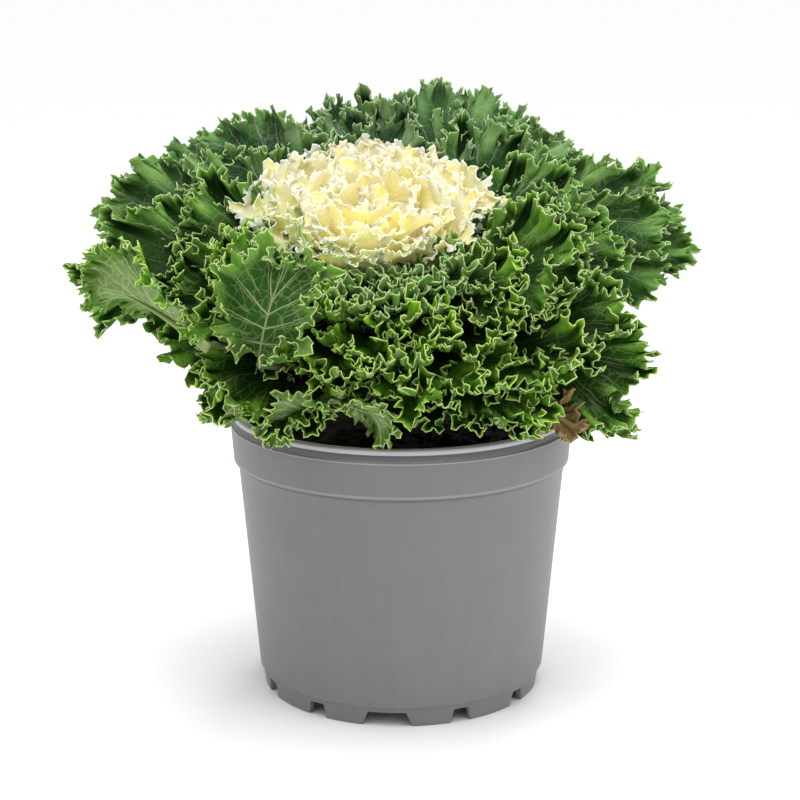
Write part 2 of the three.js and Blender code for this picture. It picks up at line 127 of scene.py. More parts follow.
# %% One class for sockets
class Signal:
    """A socket in a node tree. With no socket it stands for the tree itself, to start from."""

    def __init__(self, tree, socket=None):
        self.tree = tree
        self.socket = socket

    def node(self, kind, settings=None, inputs=None, out=0):
        """Adds a node, its settings first and then its inputs by name or number, and returns one output."""
        node = self.tree.nodes.new(kind)
        for key, value in (settings or {}).items():
            setattr(node, key, value)
        for key, value in (inputs or {}).items():
            if isinstance(value, Signal):
                self.tree.links.new(value.socket, node.inputs[key])
            else:
                node.inputs[key].default_value = value
        return Signal(self.tree, node.outputs[out] if node.outputs else None)

    def maths(self, operation, first, second=0.0):
        return self.node("ShaderNodeMath", {"operation": operation}, {0: first, 1: second})

    def __add__(self, other):
        return self.maths("ADD", self, other)

    def __sub__(self, other):
        return self.maths("SUBTRACT", self, other)

    def __rsub__(self, other):
        return self.maths("SUBTRACT", other, self)

    def __mul__(self, other):
        return self.maths("MULTIPLY", self, other)

    def __truediv__(self, other):
        return self.maths("DIVIDE", self, other)

    def __abs__(self):
        return self.maths("ABSOLUTE", self)

    def fraction(self):
        return self.maths("FRACT", self)

    def higher(self, other):
        return self.maths("MAXIMUM", self, other)

    def rises(self, low, high):
        """0 at low and 1 at high, with a smooth step between them; low may be the larger one."""
        settings = {"interpolation_type": "SMOOTHSTEP"}
        return self.node("ShaderNodeMapRange", settings, {"Value": self, "From Min": low, "From Max": high})

    def mixed(self, colour, other):
        """The first colour where this signal is 0 and the other where it is 1."""
        return self.node("ShaderNodeMix", {"data_type": "RGBA"}, {0: self, 6: colour, 7: other}, out=2)

    def parts(self):
        """The three numbers of a vector."""
        split = self.node("ShaderNodeSeparateXYZ", None, {0: self}).socket.node
        return [Signal(self.tree, output) for output in split.outputs]

    def noise(self, scale, detail=2.0, where="Fac"):
        """Cloudy values round 0.5; the scale counts clouds per unit of this vector."""
        inputs = {"Vector": self, "Scale": scale, "Detail": detail}
        return self.node("ShaderNodeTexNoise", None, inputs, out=where)

    def relief(self, strength, distance):
        """The normal of a surface that is this signal high, times the distance in metres."""
        return self.node("ShaderNodeBump", None, {"Strength": strength, "Distance": distance, "Height": self})


def rgb(red, green, blue):
    """A colour as sockets take it, from 0 to 1 in linear light."""
    return (red, green, blue, 1.0)


def coats(colour, layers):
    """Lays colours over a first one, each of them where its own signal is 1."""
    for cover, paint in layers:
        colour = cover.mixed(colour, paint)
    return colour


def start_finish(name):
    """A new material with an empty tree."""
    material = bpy.data.materials.new(name)
    material.use_nodes = True
    material.node_tree.nodes.clear()
    return material, Signal(material.node_tree)


def end_finish(start, inputs):
    """Closes a tree with its shader."""
    surface = start.node("ShaderNodeBsdfPrincipled", None, inputs)
    start.node("ShaderNodeOutputMaterial", None, {"Surface": surface})


print("the socket class is ready")

# %% [markdown]
# The white world is a first sum: its strength rises with the height that a direction points at, so most of
# the light falls from above, as under the big soft boxes of a studio, and the hollows between the leaves stay
# dark.

# %% The white world
def light_world():
    world = bpy.data.worlds.new("white_world")
    world.use_nodes = True
    world.node_tree.nodes.clear()
    start = Signal(world.node_tree)
    upwards = start.node("ShaderNodeTexCoord").parts()[2].higher(0.0)
    strength = upwards * (SKY_HIGH - SKY_LOW) + SKY_LOW
    light = start.node("ShaderNodeBackground", None, {"Color": rgb(1.0, 1.0, 1.0), "Strength": strength})
    start.node("ShaderNodeOutputWorld", None, {"Surface": light})
    bpy.context.scene.world = world


light_world()
print("the world is", SKY_LOW, "at the horizon and", SKY_HIGH, "overhead")

# %% [markdown]
# ## From arrays to pieces
#
# Every surface here is a grid: a two-dimensional array of vertex numbers says which point stands at each
# crossing. Cells become pairs of triangles. Closing a surface needs no extra code: the last column repeats
# the first one for a ring, and a row that holds one number is a pole, where the collapsed triangles are
# dropped.

# %% Grids to faces
def cell_faces(numbers):
    """Two triangles for each cell of a 2-D array of vertex numbers, without the collapsed ones."""
    a, b = numbers[:-1, :-1], numbers[:-1, 1:]
    c, d = numbers[1:, 1:], numbers[1:, :-1]
    faces = np.concatenate([np.stack([a, b, c], -1).reshape(-1, 3), np.stack([a, c, d], -1).reshape(-1, 3)])
    return drop_collapsed(faces)


def drop_collapsed(faces):
    """Leaves out faces in which two corners are one."""
    apart = (faces[:, 0] != faces[:, 1]) & (faces[:, 1] != faces[:, 2]) & (faces[:, 2] != faces[:, 0])
    return faces[apart]


def seam_faces(sparse, dense):
    """Three triangles for each cell between a row and the next one, which has twice as many columns."""
    a, b = sparse[:-1], sparse[1:]
    c, middle, d = dense[:-2:2], dense[1::2], dense[2::2]
    parts = [np.stack([a, middle, c], -1), np.stack([a, b, middle], -1), np.stack([b, d, middle], -1)]
    return drop_collapsed(np.concatenate(parts))


def grid_numbers(rows, columns):
    """Vertex numbers row by row."""
    return np.arange(rows * columns).reshape(rows, columns)


def ring_numbers(rows, columns):
    """As grid_numbers, with the first column repeated at the end, so that each row is a ring."""
    numbers = grid_numbers(rows, columns)
    return np.concatenate([numbers, numbers[:, :1]], axis=1)


def around(count):
    """The angles of a ring's columns, as a row."""
    return np.radians(np.arange(count) * 360 / count)[None, :]


def ring_points(radius, height, angle, x=0.0, y=0.0):
    """x + r cos(a), y + r sin(a) and the height, for a column of radii and a row of angles."""
    return np.stack([x + radius * np.cos(angle), y + radius * np.sin(angle), height + 0 * radius * angle], -1)


print("grids become triangles with no loop over vertices")


# %% Arrays to an object
class Shape:
    """Points in millimetres, triangles, and named values for each point, all as arrays."""

    def __init__(self, points, faces, values=None):
        used, compact = np.unique(faces, return_inverse=True)
        self.points = points.reshape(-1, 3)[used]
        self.faces = compact.reshape(faces.shape)
        self.values = {key: value.reshape(-1, 3)[used] for key, value in (values or {}).items()}


def joined(shapes):
    """Several shapes as one; each stays a closed body of its own."""
    starts = np.cumsum([0] + [len(shape.points) for shape in shapes[:-1]])
    points = np.concatenate([shape.points for shape in shapes])
    faces = np.concatenate([shape.faces + start for shape, start in zip(shapes, starts)])
    values = {key: np.concatenate([shape.values[key] for shape in shapes]) for key in shapes[0].values}
    return Shape(points, faces, values)


def closed_rings(points, inside_out=False):
    """Rings of which the first and the last are one point each."""
    numbers = ring_numbers(*points.shape[:2])
    numbers[0], numbers[-1] = numbers[0, 0], numbers[-1, 0]
    faces = cell_faces(numbers)
    return Shape(points, faces[:, ::-1] if inside_out else faces)


def capped_rings(points, middles, values=None):
    """A tube of rings, closed at each end round the middle given for it. The values count the middles too."""
    numbers = ring_numbers(*points.shape[:2])
    first = numbers[:1] * 0 + points.shape[0] * points.shape[1]
    faces = cell_faces(np.concatenate([first, numbers, first + 1]))
    return Shape(np.concatenate([points.reshape(-1, 3), middles]), faces, values)


def add_piece(name, shape, material, node, sharp=None):
    """Makes the object, rides it on the body and hides the frame's node that it stands for."""
    mesh = bpy.data.meshes.new(name)
    mesh.vertices.add(len(shape.points))
    mesh.vertices.foreach_set("co", (shape.points * MM).ravel())
    mesh.loops.add(shape.faces.size)
    mesh.loops.foreach_set("vertex_index", shape.faces.ravel())
    mesh.polygons.add(len(shape.faces))
    mesh.polygons.foreach_set("loop_start", np.arange(0, shape.faces.size, 3))
    mesh.update(calc_edges=True)
    for key, value in shape.values.items():
        attribute = mesh.attributes.new(key, "FLOAT_VECTOR", "POINT")
        attribute.data.foreach_set("vector", value.astype(np.float32).ravel())
    mesh.polygons.foreach_set("use_smooth", np.ones(len(shape.faces), dtype=bool))
    if sharp:
        mesh.set_sharp_from_angle(angle=math.radians(sharp))
    mesh.materials.append(material)
    piece = placed(name, mesh)
    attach(piece, "root")
    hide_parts(node)
    print(f"{name}: {len(shape.faces)} triangles")
    return piece


print("a shape becomes a piece with add_piece")

# %% [markdown]
# ## The floor
#
# Plain, pale and large. Only the soft shadow under the foot of the pot shows on it.

# %% The floor
FLOOR_HALF = 40.0  # metres


def make_floor():
    material, start = start_finish("white_floor")
    end_finish(start, {"Base Color": rgb(0.93, 0.93, 0.93), "Roughness": 0.9, "Specular IOR Level": 0.1})
    mesh = bpy.data.meshes.new("floor")
    corners = np.array([[-1, -1, 0], [1, -1, 0], [1, 1, 0], [-1, 1, 0]]) * FLOOR_HALF
    mesh.from_pydata(corners.tolist(), [], [(0, 1, 2, 3)])
    mesh.materials.append(material)
    placed("floor", mesh)


make_floor()
print("floor laid")

# %% [markdown]
# ## The pot
#
# A nursery pot is injection moulded: one profile turned about an axis, with a rolled lip, a band, a step, a
# tapered wall and a foot. Only the foot isn't round, because notches let water out from under the base. A
# lathe could not cut those, but a grid can: the points of the foot that lie lower than the notch are lifted
# to its edge, which is a function of the angle. The drain holes are the one thing that is cut afterwards.

# %% Sizes of the pot
POT_RADIUS = 70.0
LIP_HEIGHT = 116.0
LIP_FOOT = 113.8
EDGE_HEIGHT = 111.0
STEP_HEIGHT = 96.0
BAND_RADIUS = 69.0
WALL_TOP = 67.1
WALL_FOOT = 59.4
FOOT_RADIUS = 57.5
FOOT_HEIGHT = 8.5
FOOT_INSIDE = 55.3
BASE_UNDERSIDE = 6.5
SKIN = 1.7
NOTCH_HEIGHT = 6.0
NOTCH_COUNT = 12
NOTCH_FIRST = -95.7
NARROW_NOTCH = (8.5, 6.0)
WIDE_NOTCH = (20.0, 15.0)
POT_COLUMNS = 144


def arc(centre, radius, start, end, count=6):
    """Points [radius, height] on an arc about a centre, between two angles in degrees."""
    angles = np.radians(np.linspace(start, end, count))
    return np.stack([centre[0] + radius * np.cos(angles), centre[1] + radius * np.sin(angles)], -1)


def line(start, end, count=2):
    """Points [radius, height] on a straight line."""
    return np.linspace(start, end, count)


def pot_profile():
    """The whole section: underside, foot, wall, step, band, lip, and down the inside again."""
    base_top = BASE_UNDERSIDE + SKIN
    return np.concatenate([
        line([0, BASE_UNDERSIDE], [FOOT_INSIDE - 0.4, BASE_UNDERSIDE], 4),
        line([FOOT_INSIDE, BASE_UNDERSIDE - 0.4], [FOOT_INSIDE, 0.3], 4),
        line([FOOT_INSIDE + 0.3, 0], [FOOT_RADIUS - 0.4, 0]),
        line([FOOT_RADIUS, 0.4], [FOOT_RADIUS + 1.0, FOOT_HEIGHT - 1.0], 4),
        arc((WALL_FOOT + 0.1, FOOT_HEIGHT - 0.9), 1.0, 180, 90, 4)[1:],
        line([WALL_FOOT + 0.15, FOOT_HEIGHT + 0.6], [WALL_TOP, STEP_HEIGHT - 0.6], 12),
        line([WALL_TOP + 0.2, STEP_HEIGHT - 0.1], [BAND_RADIUS - 0.5, STEP_HEIGHT + 0.1]),
        arc((BAND_RADIUS - 0.7, STEP_HEIGHT + 0.9), 0.7, -80, 0, 4),
        line([BAND_RADIUS, STEP_HEIGHT + 1.5], [POT_RADIUS, EDGE_HEIGHT - 0.5], 5),
        arc((POT_RADIUS - 0.5, EDGE_HEIGHT - 0.4), 0.5, 0, 120, 4),
        line([POT_RADIUS - 1.6, EDGE_HEIGHT + 0.35], [POT_RADIUS - 1.1, LIP_HEIGHT - 1.2], 4),
        arc((POT_RADIUS - 1.9, LIP_HEIGHT - 0.9), 0.9, -10, 95, 8),
        arc((POT_RADIUS - 3.8, LIP_HEIGHT - 1.6), 1.6, 100, 200, 6),
        line([POT_RADIUS - 2.5, EDGE_HEIGHT - 0.4], [BAND_RADIUS - SKIN, STEP_HEIGHT + 2.0], 5),
        line([WALL_TOP - SKIN, STEP_HEIGHT - 0.5], [WALL_FOOT - SKIN, base_top + 0.5], 6),
        line([WALL_FOOT - SKIN - 0.8, base_top], [0, base_top], 4),
    ])


def notch_edge(turn):
    """The height of the foot's lower edge at an angle in degrees: a trapezoid at every notch, 0 elsewhere."""
    edge = np.zeros_like(turn)
    for number in range(NOTCH_COUNT):
        floor_wide, top_wide = WIDE_NOTCH if number % 3 == 0 else NARROW_NOTCH
        away = np.abs((turn - NOTCH_FIRST - number * 360 / NOTCH_COUNT + 180) % 360 - 180)
        rise = (floor_wide / 2 - away) / (floor_wide / 2 - top_wide / 2)
        edge = np.maximum(edge, NOTCH_HEIGHT * np.clip(rise, 0, 1))
    return edge


def notch_corners():
    """The angles where the edge of a notch bends, so that columns stand on them."""
    corners = []
    for number in range(NOTCH_COUNT):
        widths = WIDE_NOTCH if number % 3 == 0 else NARROW_NOTCH
        middle = NOTCH_FIRST + number * 360 / NOTCH_COUNT
        corners += [middle + sign * width / 2 for width in widths for sign in (-1, 1)]
    return np.array(corners) % 360


def pot_shape():
    """x = r cos(turn), y = r sin(turn), z = the profile's height, or the notch's edge if that is higher."""
    even = np.arange(POT_COLUMNS) * 360 / POT_COLUMNS
    corners = notch_corners()
    spaced = np.min(np.abs(even[:, None] - corners[None, :]), axis=1) > 0.5
    turn = np.sort(np.concatenate([even[spaced], corners]))
    profile = pot_profile()
    radius, height = profile[:, :1], profile[:, 1:]
    height = np.where(radius > FOOT_INSIDE - 0.01, np.maximum(height, notch_edge(turn)[None, :]), height)
    return closed_rings(ring_points(radius, height, np.radians(turn)[None, :]), inside_out=True)


print("the pot's section has", len(pot_profile()), "points")

# %% [markdown]
# ### Moulded plastic
#
# Recycled polypropylene is a neutral grey with a faint mottling. It has a satin skin with very fine pitting,
# and long, barely visible flow marks that run up the wall. Near the lip it is a little dusty from the peat.
# The colour also paints light and shade: painted highlights on the edge above the band, on the step and on
# the lip's top, painted shade on the neck under the lip, and a thin painted shadow under the step.

# %% The pot's finish
def band_between(height, low, high):
    """1 between two heights in millimetres and 0 from 0.3 mm outside them."""
    return height.rises(low - 0.3, low) * height.rises(high + 0.3, high)


def pot_finish():
    material, start = start_finish("grey_moulded_plastic")
    place = start.node("ShaderNodeTexCoord", out="Object")
    height = place.parts()[2] / MM
    stretched = start.node("ShaderNodeMapping", None, {"Vector": place, "Scale": (260.0, 260.0, 14.0)})
    flow = stretched.noise(1.0, 3.0)
    shade = place.noise(90.0, 4.0) * 0.5 + flow * 0.5
    dust = height.rises(106.0, 118.0) * place.noise(420.0, 5.0).rises(0.5, 0.75) * 0.25
    # painted shadow: a thin dark line just under the step
    painted_step_shadow = band_between(height, STEP_HEIGHT - 0.8, STEP_HEIGHT) * 0.35
    # painted highlight: a light line just above the step
    painted_step_highlight = band_between(height, STEP_HEIGHT + 1.0, STEP_HEIGHT + 1.6) * 0.4
    colour = coats(rgb(0.168, 0.170, 0.178), [
        (shade.rises(0.3, 0.7), rgb(0.182, 0.184, 0.192)),
        (dust, rgb(0.20, 0.17, 0.14)),
        # painted shade: the neck under the lip, from the edge of the band up to the lip, is nearly black
        (height.rises(EDGE_HEIGHT, LIP_FOOT) * 0.75, rgb(0.030, 0.030, 0.032)),
        (painted_step_shadow, rgb(0.08, 0.08, 0.085)),
        # painted highlight: light lines on the edge above the band and just above the step
        (band_between(height, EDGE_HEIGHT - 0.3, EDGE_HEIGHT + 0.4).higher(painted_step_highlight), rgb(0.38, 0.38, 0.39)),
        # painted highlight: the top of the lip is a much lighter grey
        (height.rises(LIP_FOOT, LIP_FOOT + 0.3), rgb(0.46, 0.46, 0.47)),
    ])
    normal = (place.noise(2600.0, 2.0) + flow * 0.4).relief(0.25, 0.0002)
    end_finish(start, {"Base Color": colour, "Roughness": flow * 0.12 + 0.40, "Normal": normal,
                       "Specular IOR Level": 0.45})
    return material


DRAIN_RADIUS = 4.0
DRAIN_CIRCLE = 40.0
DRAIN_COUNT = 6
DRAIN_COLUMNS = 32
DRUM = (3.0, 12.0)  # the heights of its ends


def drill_base(pot):
    """Cuts the drain holes, one in the middle and a ring of them, each with a drum that ends in points."""
    spots = [(0.0, 0.0)] + [
        (DRAIN_CIRCLE * math.cos(turn), DRAIN_CIRCLE * math.sin(turn)) for turn in around(DRAIN_COUNT)[0]
    ]
    radius = np.array([0, DRAIN_RADIUS, DRAIN_RADIUS, 0])[:, None]
    height = np.repeat(DRUM, 2)[:, None]
    rings = [ring_points(radius, height, around(DRAIN_COLUMNS), x, y) for x, y in spots]
    drums = joined([closed_rings(points, inside_out=True) for points in rings])
    mesh = bpy.data.meshes.new("drill")
    mesh.from_pydata((drums.points * MM).tolist(), [], drums.faces.tolist())
    tool = placed("drill", mesh)
    cut = pot.modifiers.new("drain_holes", "BOOLEAN")
    cut.operation, cut.solver, cut.object = "DIFFERENCE", "EXACT", tool
    drilled = bpy.data.meshes.new_from_object(pot.evaluated_get(bpy.context.evaluated_depsgraph_get()))
    pot.modifiers.clear()
    old, pot.data = pot.data, drilled
    bpy.data.meshes.remove(old)
    bpy.data.objects.remove(tool)
    print("drilled", len(spots), "drain holes")


pot = add_piece("nursery_pot", pot_shape(), pot_finish(), "pot", sharp=28)
drill_base(pot)

# %% [markdown]
# ## The peat
#
# Dark peat fills the pot to a finger below the lip. It isn't smooth: its surface is a disc whose height is a
# sum of waves with random directions, and loose crumbs lie on it. The disc goes on down the inside of the
# wall to the base, so that it is a closed body that can be lifted out.

# %% The peat's surface
PEAT_LEVEL = 105.0
PEAT_MOUND = 3.0
PEAT_SUNK = 1.0
PEAT_SHOULDER = 100.0
PEAT_RADIUS = 66.4
PEAT_GAP = 0.3
PEAT_COLUMNS = 120
PEAT_ROWS = 36
PEAT_LUMPS = [(11, 0.9, 18.0), (12, 0.5, 7.0), (13, 0.35, 3.2)]  # seed, size and wavelength of each sort


def soft_noise(x, y, random, wavelength, count=14):
    """A sum of sine waves in random directions, each about one wavelength long, from -1 to 1 or so."""
    total = np.zeros_like(x)
    for _ in range(count):
        direction, phase = random.uniform(0, math.tau, 2)
        length = wavelength * random.uniform(0.7, 1.4)
        way = x * math.cos(direction) + y * math.sin(direction)
        total = total + np.sin(math.tau * way / length + phase)
    return total / math.sqrt(count)


def peat_height(x, y):
    """A low mound towards the stem with lumps of three sizes on it."""
    height = PEAT_LEVEL + PEAT_MOUND * (1 - np.hypot(x, y) / PEAT_RADIUS) - PEAT_SUNK
    for seed, size, wavelength in PEAT_LUMPS:
        height = height + size * soft_noise(x, y, np.random.default_rng(seed), wavelength)
    return height


def peat_shape():
    """Rings from the middle of the top out to the wall, then down the wall and in again under the base."""
    turn = around(PEAT_COLUMNS)
    top = np.linspace(0, PEAT_RADIUS, PEAT_ROWS)[:, None]
    surface = ring_points(top, 0, turn)
    surface[..., 2] = peat_height(surface[..., 0], surface[..., 1])
    base = BASE_UNDERSIDE + SKIN + PEAT_GAP
    inner_top = WALL_TOP - SKIN - PEAT_GAP
    inner_foot = WALL_FOOT - SKIN - PEAT_GAP
    side = np.array([
        [PEAT_RADIUS - 0.2, PEAT_SHOULDER], [inner_top, STEP_HEIGHT], [inner_foot, base + 0.3], [0, base],
    ])
    return closed_rings(np.concatenate([surface, ring_points(side[:, :1], side[:, 1:], turn)]))


CRUMBS = 220
CRUMB_SIZE = (0.5, 1.7)
CRUMB_CIRCLE = 63.0
CRUMB_ROWS, CRUMB_COLUMNS = 5, 7


def crumb_shapes(random):
    """Loose crumbs: small lumpy balls of a few rings, pressed flat and half sunk in the surface."""
    rise = np.radians(np.linspace(-90, 90, CRUMB_ROWS))[:, None]
    ball = ring_points(np.cos(rise), np.sin(rise), around(CRUMB_COLUMNS))
    crumbs = []
    for _ in range(CRUMBS):
        radius = CRUMB_CIRCLE * math.sqrt(random.uniform(0.05, 1.0))
        turn = random.uniform(0, math.tau)
        x, y = radius * math.cos(turn), radius * math.sin(turn)
        size = random.uniform(*CRUMB_SIZE) * random.uniform(0.7, 1.3, 3) * (1, 1, 0.7)
        lumpy = 1 + 0.25 * random.uniform(-1, 1, (CRUMB_ROWS, CRUMB_COLUMNS))
        level = float(peat_height(np.array(x), np.array(y)))
        crumbs.append(closed_rings(ball * lumpy[..., None] * size + (x, y, level + 0.3 * size[2])))
    return crumbs


def peat_finish():
    material, start = start_finish("dark_peat")
    place = start.node("ShaderNodeTexCoord", out="Object")
    grains = place.noise(900.0, 6.0)
    colour = coats(rgb(0.004, 0.003, 0.002), [
        (place.noise(160.0, 3.0).rises(0.35, 0.7), rgb(0.013, 0.009, 0.006)),
        (grains.rises(0.62, 0.78) * 0.5, rgb(0.035, 0.022, 0.012)),
    ])
    end_finish(start, {"Base Color": colour, "Roughness": 0.95, "Normal": grains.relief(0.9, 0.0006),
                       "Specular IOR Level": 0.1})
    return material


peat = joined([peat_shape()] + crumb_shapes(np.random.default_rng(4)))
add_piece("peat_and_crumbs", peat, peat_finish(), "peat")

# %% [markdown]
# ## The frame of a leaf
#
# A leaf's midrib is a curve in an upright plane that faces out from the stem: it starts on the stem, rises
# over its knee and falls to its tip. At each place along it there are three directions, forward, sideways and
# up from the blade. The blade is rolled a little about its midrib, so that one side lies over the next leaf,
# as shingles do.

# %% A midrib and its directions
def smooth_step(value):
    """0 under 0 and 1 over 1, with no corner at either end."""
    value = np.clip(value, 0, 1)
    return value * value * (3 - 2 * value)


def leaf_frame(leaf, along):
    """The place, side and up directions at shares of the leaf's length, on a curve of three controls."""
    knee_reach = leaf["root_radius"] + (leaf["reach"] - leaf["root_radius"]) * leaf["knee"]
    controls = np.array([
        [leaf["root_radius"], leaf["root"]],
        [knee_reach, leaf["tip"] + leaf["arch"]],
        [leaf["reach"], leaf["tip"]],
    ])
    share = along[..., None]
    curve = (1 - share) ** 2 * controls[0] + 2 * share * (1 - share) * controls[1] + share ** 2 * controls[2]
    heading = (1 - share) * (controls[1] - controls[0]) + share * (controls[2] - controls[1])
    heading = heading / np.linalg.norm(heading, axis=-1, keepdims=True)
    turn = math.radians(leaf["turn"])
    outwards = np.array([math.cos(turn), math.sin(turn), 0.0])
    sideways = np.array([-math.sin(turn), math.cos(turn), 0.0])
    up = np.array([0.0, 0.0, 1.0])
    sway = leaf["sway"] * (along ** 2)[..., None]
    place = outwards * curve[..., :1] + up * curve[..., 1:] + sideways * sway
    lifted = up * heading[..., :1] - outwards * heading[..., 1:]
    roll = np.radians(leaf["roll"] * along + leaf["twist"] * (along - 0.5))[..., None]
    side = sideways * np.cos(roll) + lifted * np.sin(roll)
    normal = lifted * np.cos(roll) - sideways * np.sin(roll)
    return place, side, normal


def in_whorl(whorl, points):
    """Moves points from a whorl's frame to the plant: tipped towards -Y by the lean, then to its place."""
    lean = math.radians(whorl["lean"])
    sine, cosine = math.sin(lean), math.cos(lean)
    x, y, z = points[..., 0], points[..., 1], points[..., 2]
    tipped = np.stack([x, y * cosine - z * sine, y * sine + z * cosine], -1)
    return tipped + np.array(whorl["place"])


print("a leaf's frame is three directions at each share of its length")

# %% [markdown]
# ## Folding a margin that is too long
#
# The margin of a kale leaf grows faster than its middle, and has to fold. A bent river does the same, and its
# curve is well known: the direction swings as a sine along the way. If that swing is 0 the line is straight,
# and with a wide swing the loops nearly close. Written as a shift sideways and a rise off the sheet, the
# curve is a sum of a few sines, whose weights are Bessel functions of the swing. Here the swing is 0 in the
# blade and widest at the margin, and the fold is made three times over, each finer than the last.

# %% The river's curve as a fold
SERIES_TERMS = 9


def bessel(order, swing):
    """The Bessel function of a whole order by its power series, good to a swing of 3."""
    total = np.zeros_like(swing)
    for term in range(SERIES_TERMS):
        weight = (-1) ** term / (math.factorial(term) * math.factorial(term + order))
        total = total + weight * (swing / 2) ** (2 * term + order)
    return total


def unit(vectors):
    """Vectors of length 1; one with no length stays 0."""
    return vectors / np.maximum(np.linalg.norm(vectors, axis=-1, keepdims=True), 1e-9)


def sheet_directions(points):
    """For each point of a sheet: its step along the row, the direction of that step and the way up."""
    steps = np.gradient(points, axis=1)
    outward = np.gradient(points, axis=0)
    length = np.linalg.norm(steps, axis=-1)
    tangent = unit(steps)
    return length, tangent, unit(np.cross(outward, tangent))


BULGE = 0.11
LONGEST_FOLD = 1.7
LEAST_J0 = 0.15
MOST_SWING = 1.75


def folded(points, cycles, wave, swing):
    """Folds a sheet along its rows. cycles counts the folds up to each column, wave is their length in
    millimetres at the margin, and swing is in radians for each point. Crests and troughs stand out a little
    past the places between them. Also returns every point's rise.

    With the phase p and the length of one fold L = wavelength / J0, a point moves along the row by
    L / 2 pi * (J2 sin 2p + J4 / 2 sin 4p) and off the sheet by -L / pi * (J1 cos p + J3 / 3 cos 3p).
    """
    step, tangent, normal = sheet_directions(points)
    wavelength = np.minimum(step / np.gradient(cycles, axis=1), LONGEST_FOLD * wave)
    length = wavelength / np.maximum(bessel(0, swing), LEAST_J0)
    phase = math.tau * cycles
    shift = bessel(2, swing) * np.sin(2 * phase) + bessel(4, swing) / 2 * np.sin(4 * phase)
    rise = bessel(1, swing) * np.cos(phase) + bessel(3, swing) / 3 * np.cos(3 * phase)
    moved = points + tangent * (length / math.tau * shift)[..., None]
    rise = -length / math.pi * rise
    moved = moved + normal * rise[..., None]
    outward = np.cross(tangent, normal)
    return moved + outward * (BULGE * wave * swing ** 2 * np.cos(2 * phase))[..., None], rise


def wander(turn, random, waves):
    """A smooth random curve over -1 to 1, made of a few sines: about -1 to 1 high."""
    total = np.zeros_like(turn)
    for number in range(1, waves + 1):
        start, height = random.uniform(0, math.tau), random.uniform(0.5, 1.0)
        total = total + np.sin(math.pi * number * turn + start) * height
    return total / math.sqrt(waves)


print("J0 at a swing of 1.3 is", round(float(bessel(0, np.array(1.3))), 3))

# %% [markdown]
# ## One blade
#
# Rays run from the midrib out to the margin, and every one is a column of the grid; the rows are shares of
# the way along the rays. The margin needs a point every millimetre or so, but the middle of the blade
# doesn't, so the rows near the midrib use every fourth column and the next ones every second. The lower face
# repeats the upper one at a small distance, and a wall joins them round the rim, so a blade is a closed body
# as a real one is.

# %% Rows, columns and teeth
ROW_SHARES = np.array([0, 0.22, 0.42, 0.58, 0.72, 0.83, 0.91, 0.965, 1.0])
ROW_STEPS = [4, 4, 4, 2, 2, 2, 1, 1, 1]
SWEEP = 0.965 * math.pi
COLUMN_PITCH = 1.2
JITTER = 0.015
RIB_SHARE = 0.58
CURL_START = 0.68
CURL_BACK = 0.12
TIP_WIDER = 0.12
SOFT_MIDDLE = 3.0
TOOTH_ROWS = {7: 0.25, 8: 1.0}
LOBE_ROWS = {5: 0.12, 6: 0.35, 7: 0.75, 8: 1.0}


def margin_length(points):
    """Millimetres along the last row, up to each column."""
    steps = np.linalg.norm(np.diff(points[-1], axis=0), axis=-1)
    return np.concatenate([[0.0], np.cumsum(steps)])


def leaf_length(leaf):
    """The straight way from a leaf's foot to its tip."""
    return math.hypot(leaf["reach"] - leaf["root_radius"], leaf["tip"] - leaf["root"])


def flat_fan(leaf, turn, share):
    """Along and across the midrib for rays at a turn from -1 to 1 and shares of the way out.

    The margin is a round outline, wider towards the tip. Rays start on the lower part of the midrib and lean
    towards the tip: the ray at turn 0 runs to the tip, and those at -1 and 1 run back beside the petiole.
    """
    angle = turn * SWEEP
    blade = 1 - leaf["petiole"]
    margin_along = leaf["petiole"] + blade * (0.5 + 0.5 * np.cos(angle))
    margin_across = leaf["width"] / 2 * np.sin(angle) * (1 + TIP_WIDER * np.cos(angle))
    rib_along = leaf["petiole"] + blade * RIB_SHARE * (1 - np.abs(turn))
    along = rib_along + (margin_along - rib_along) * share
    return along, margin_across * share, angle


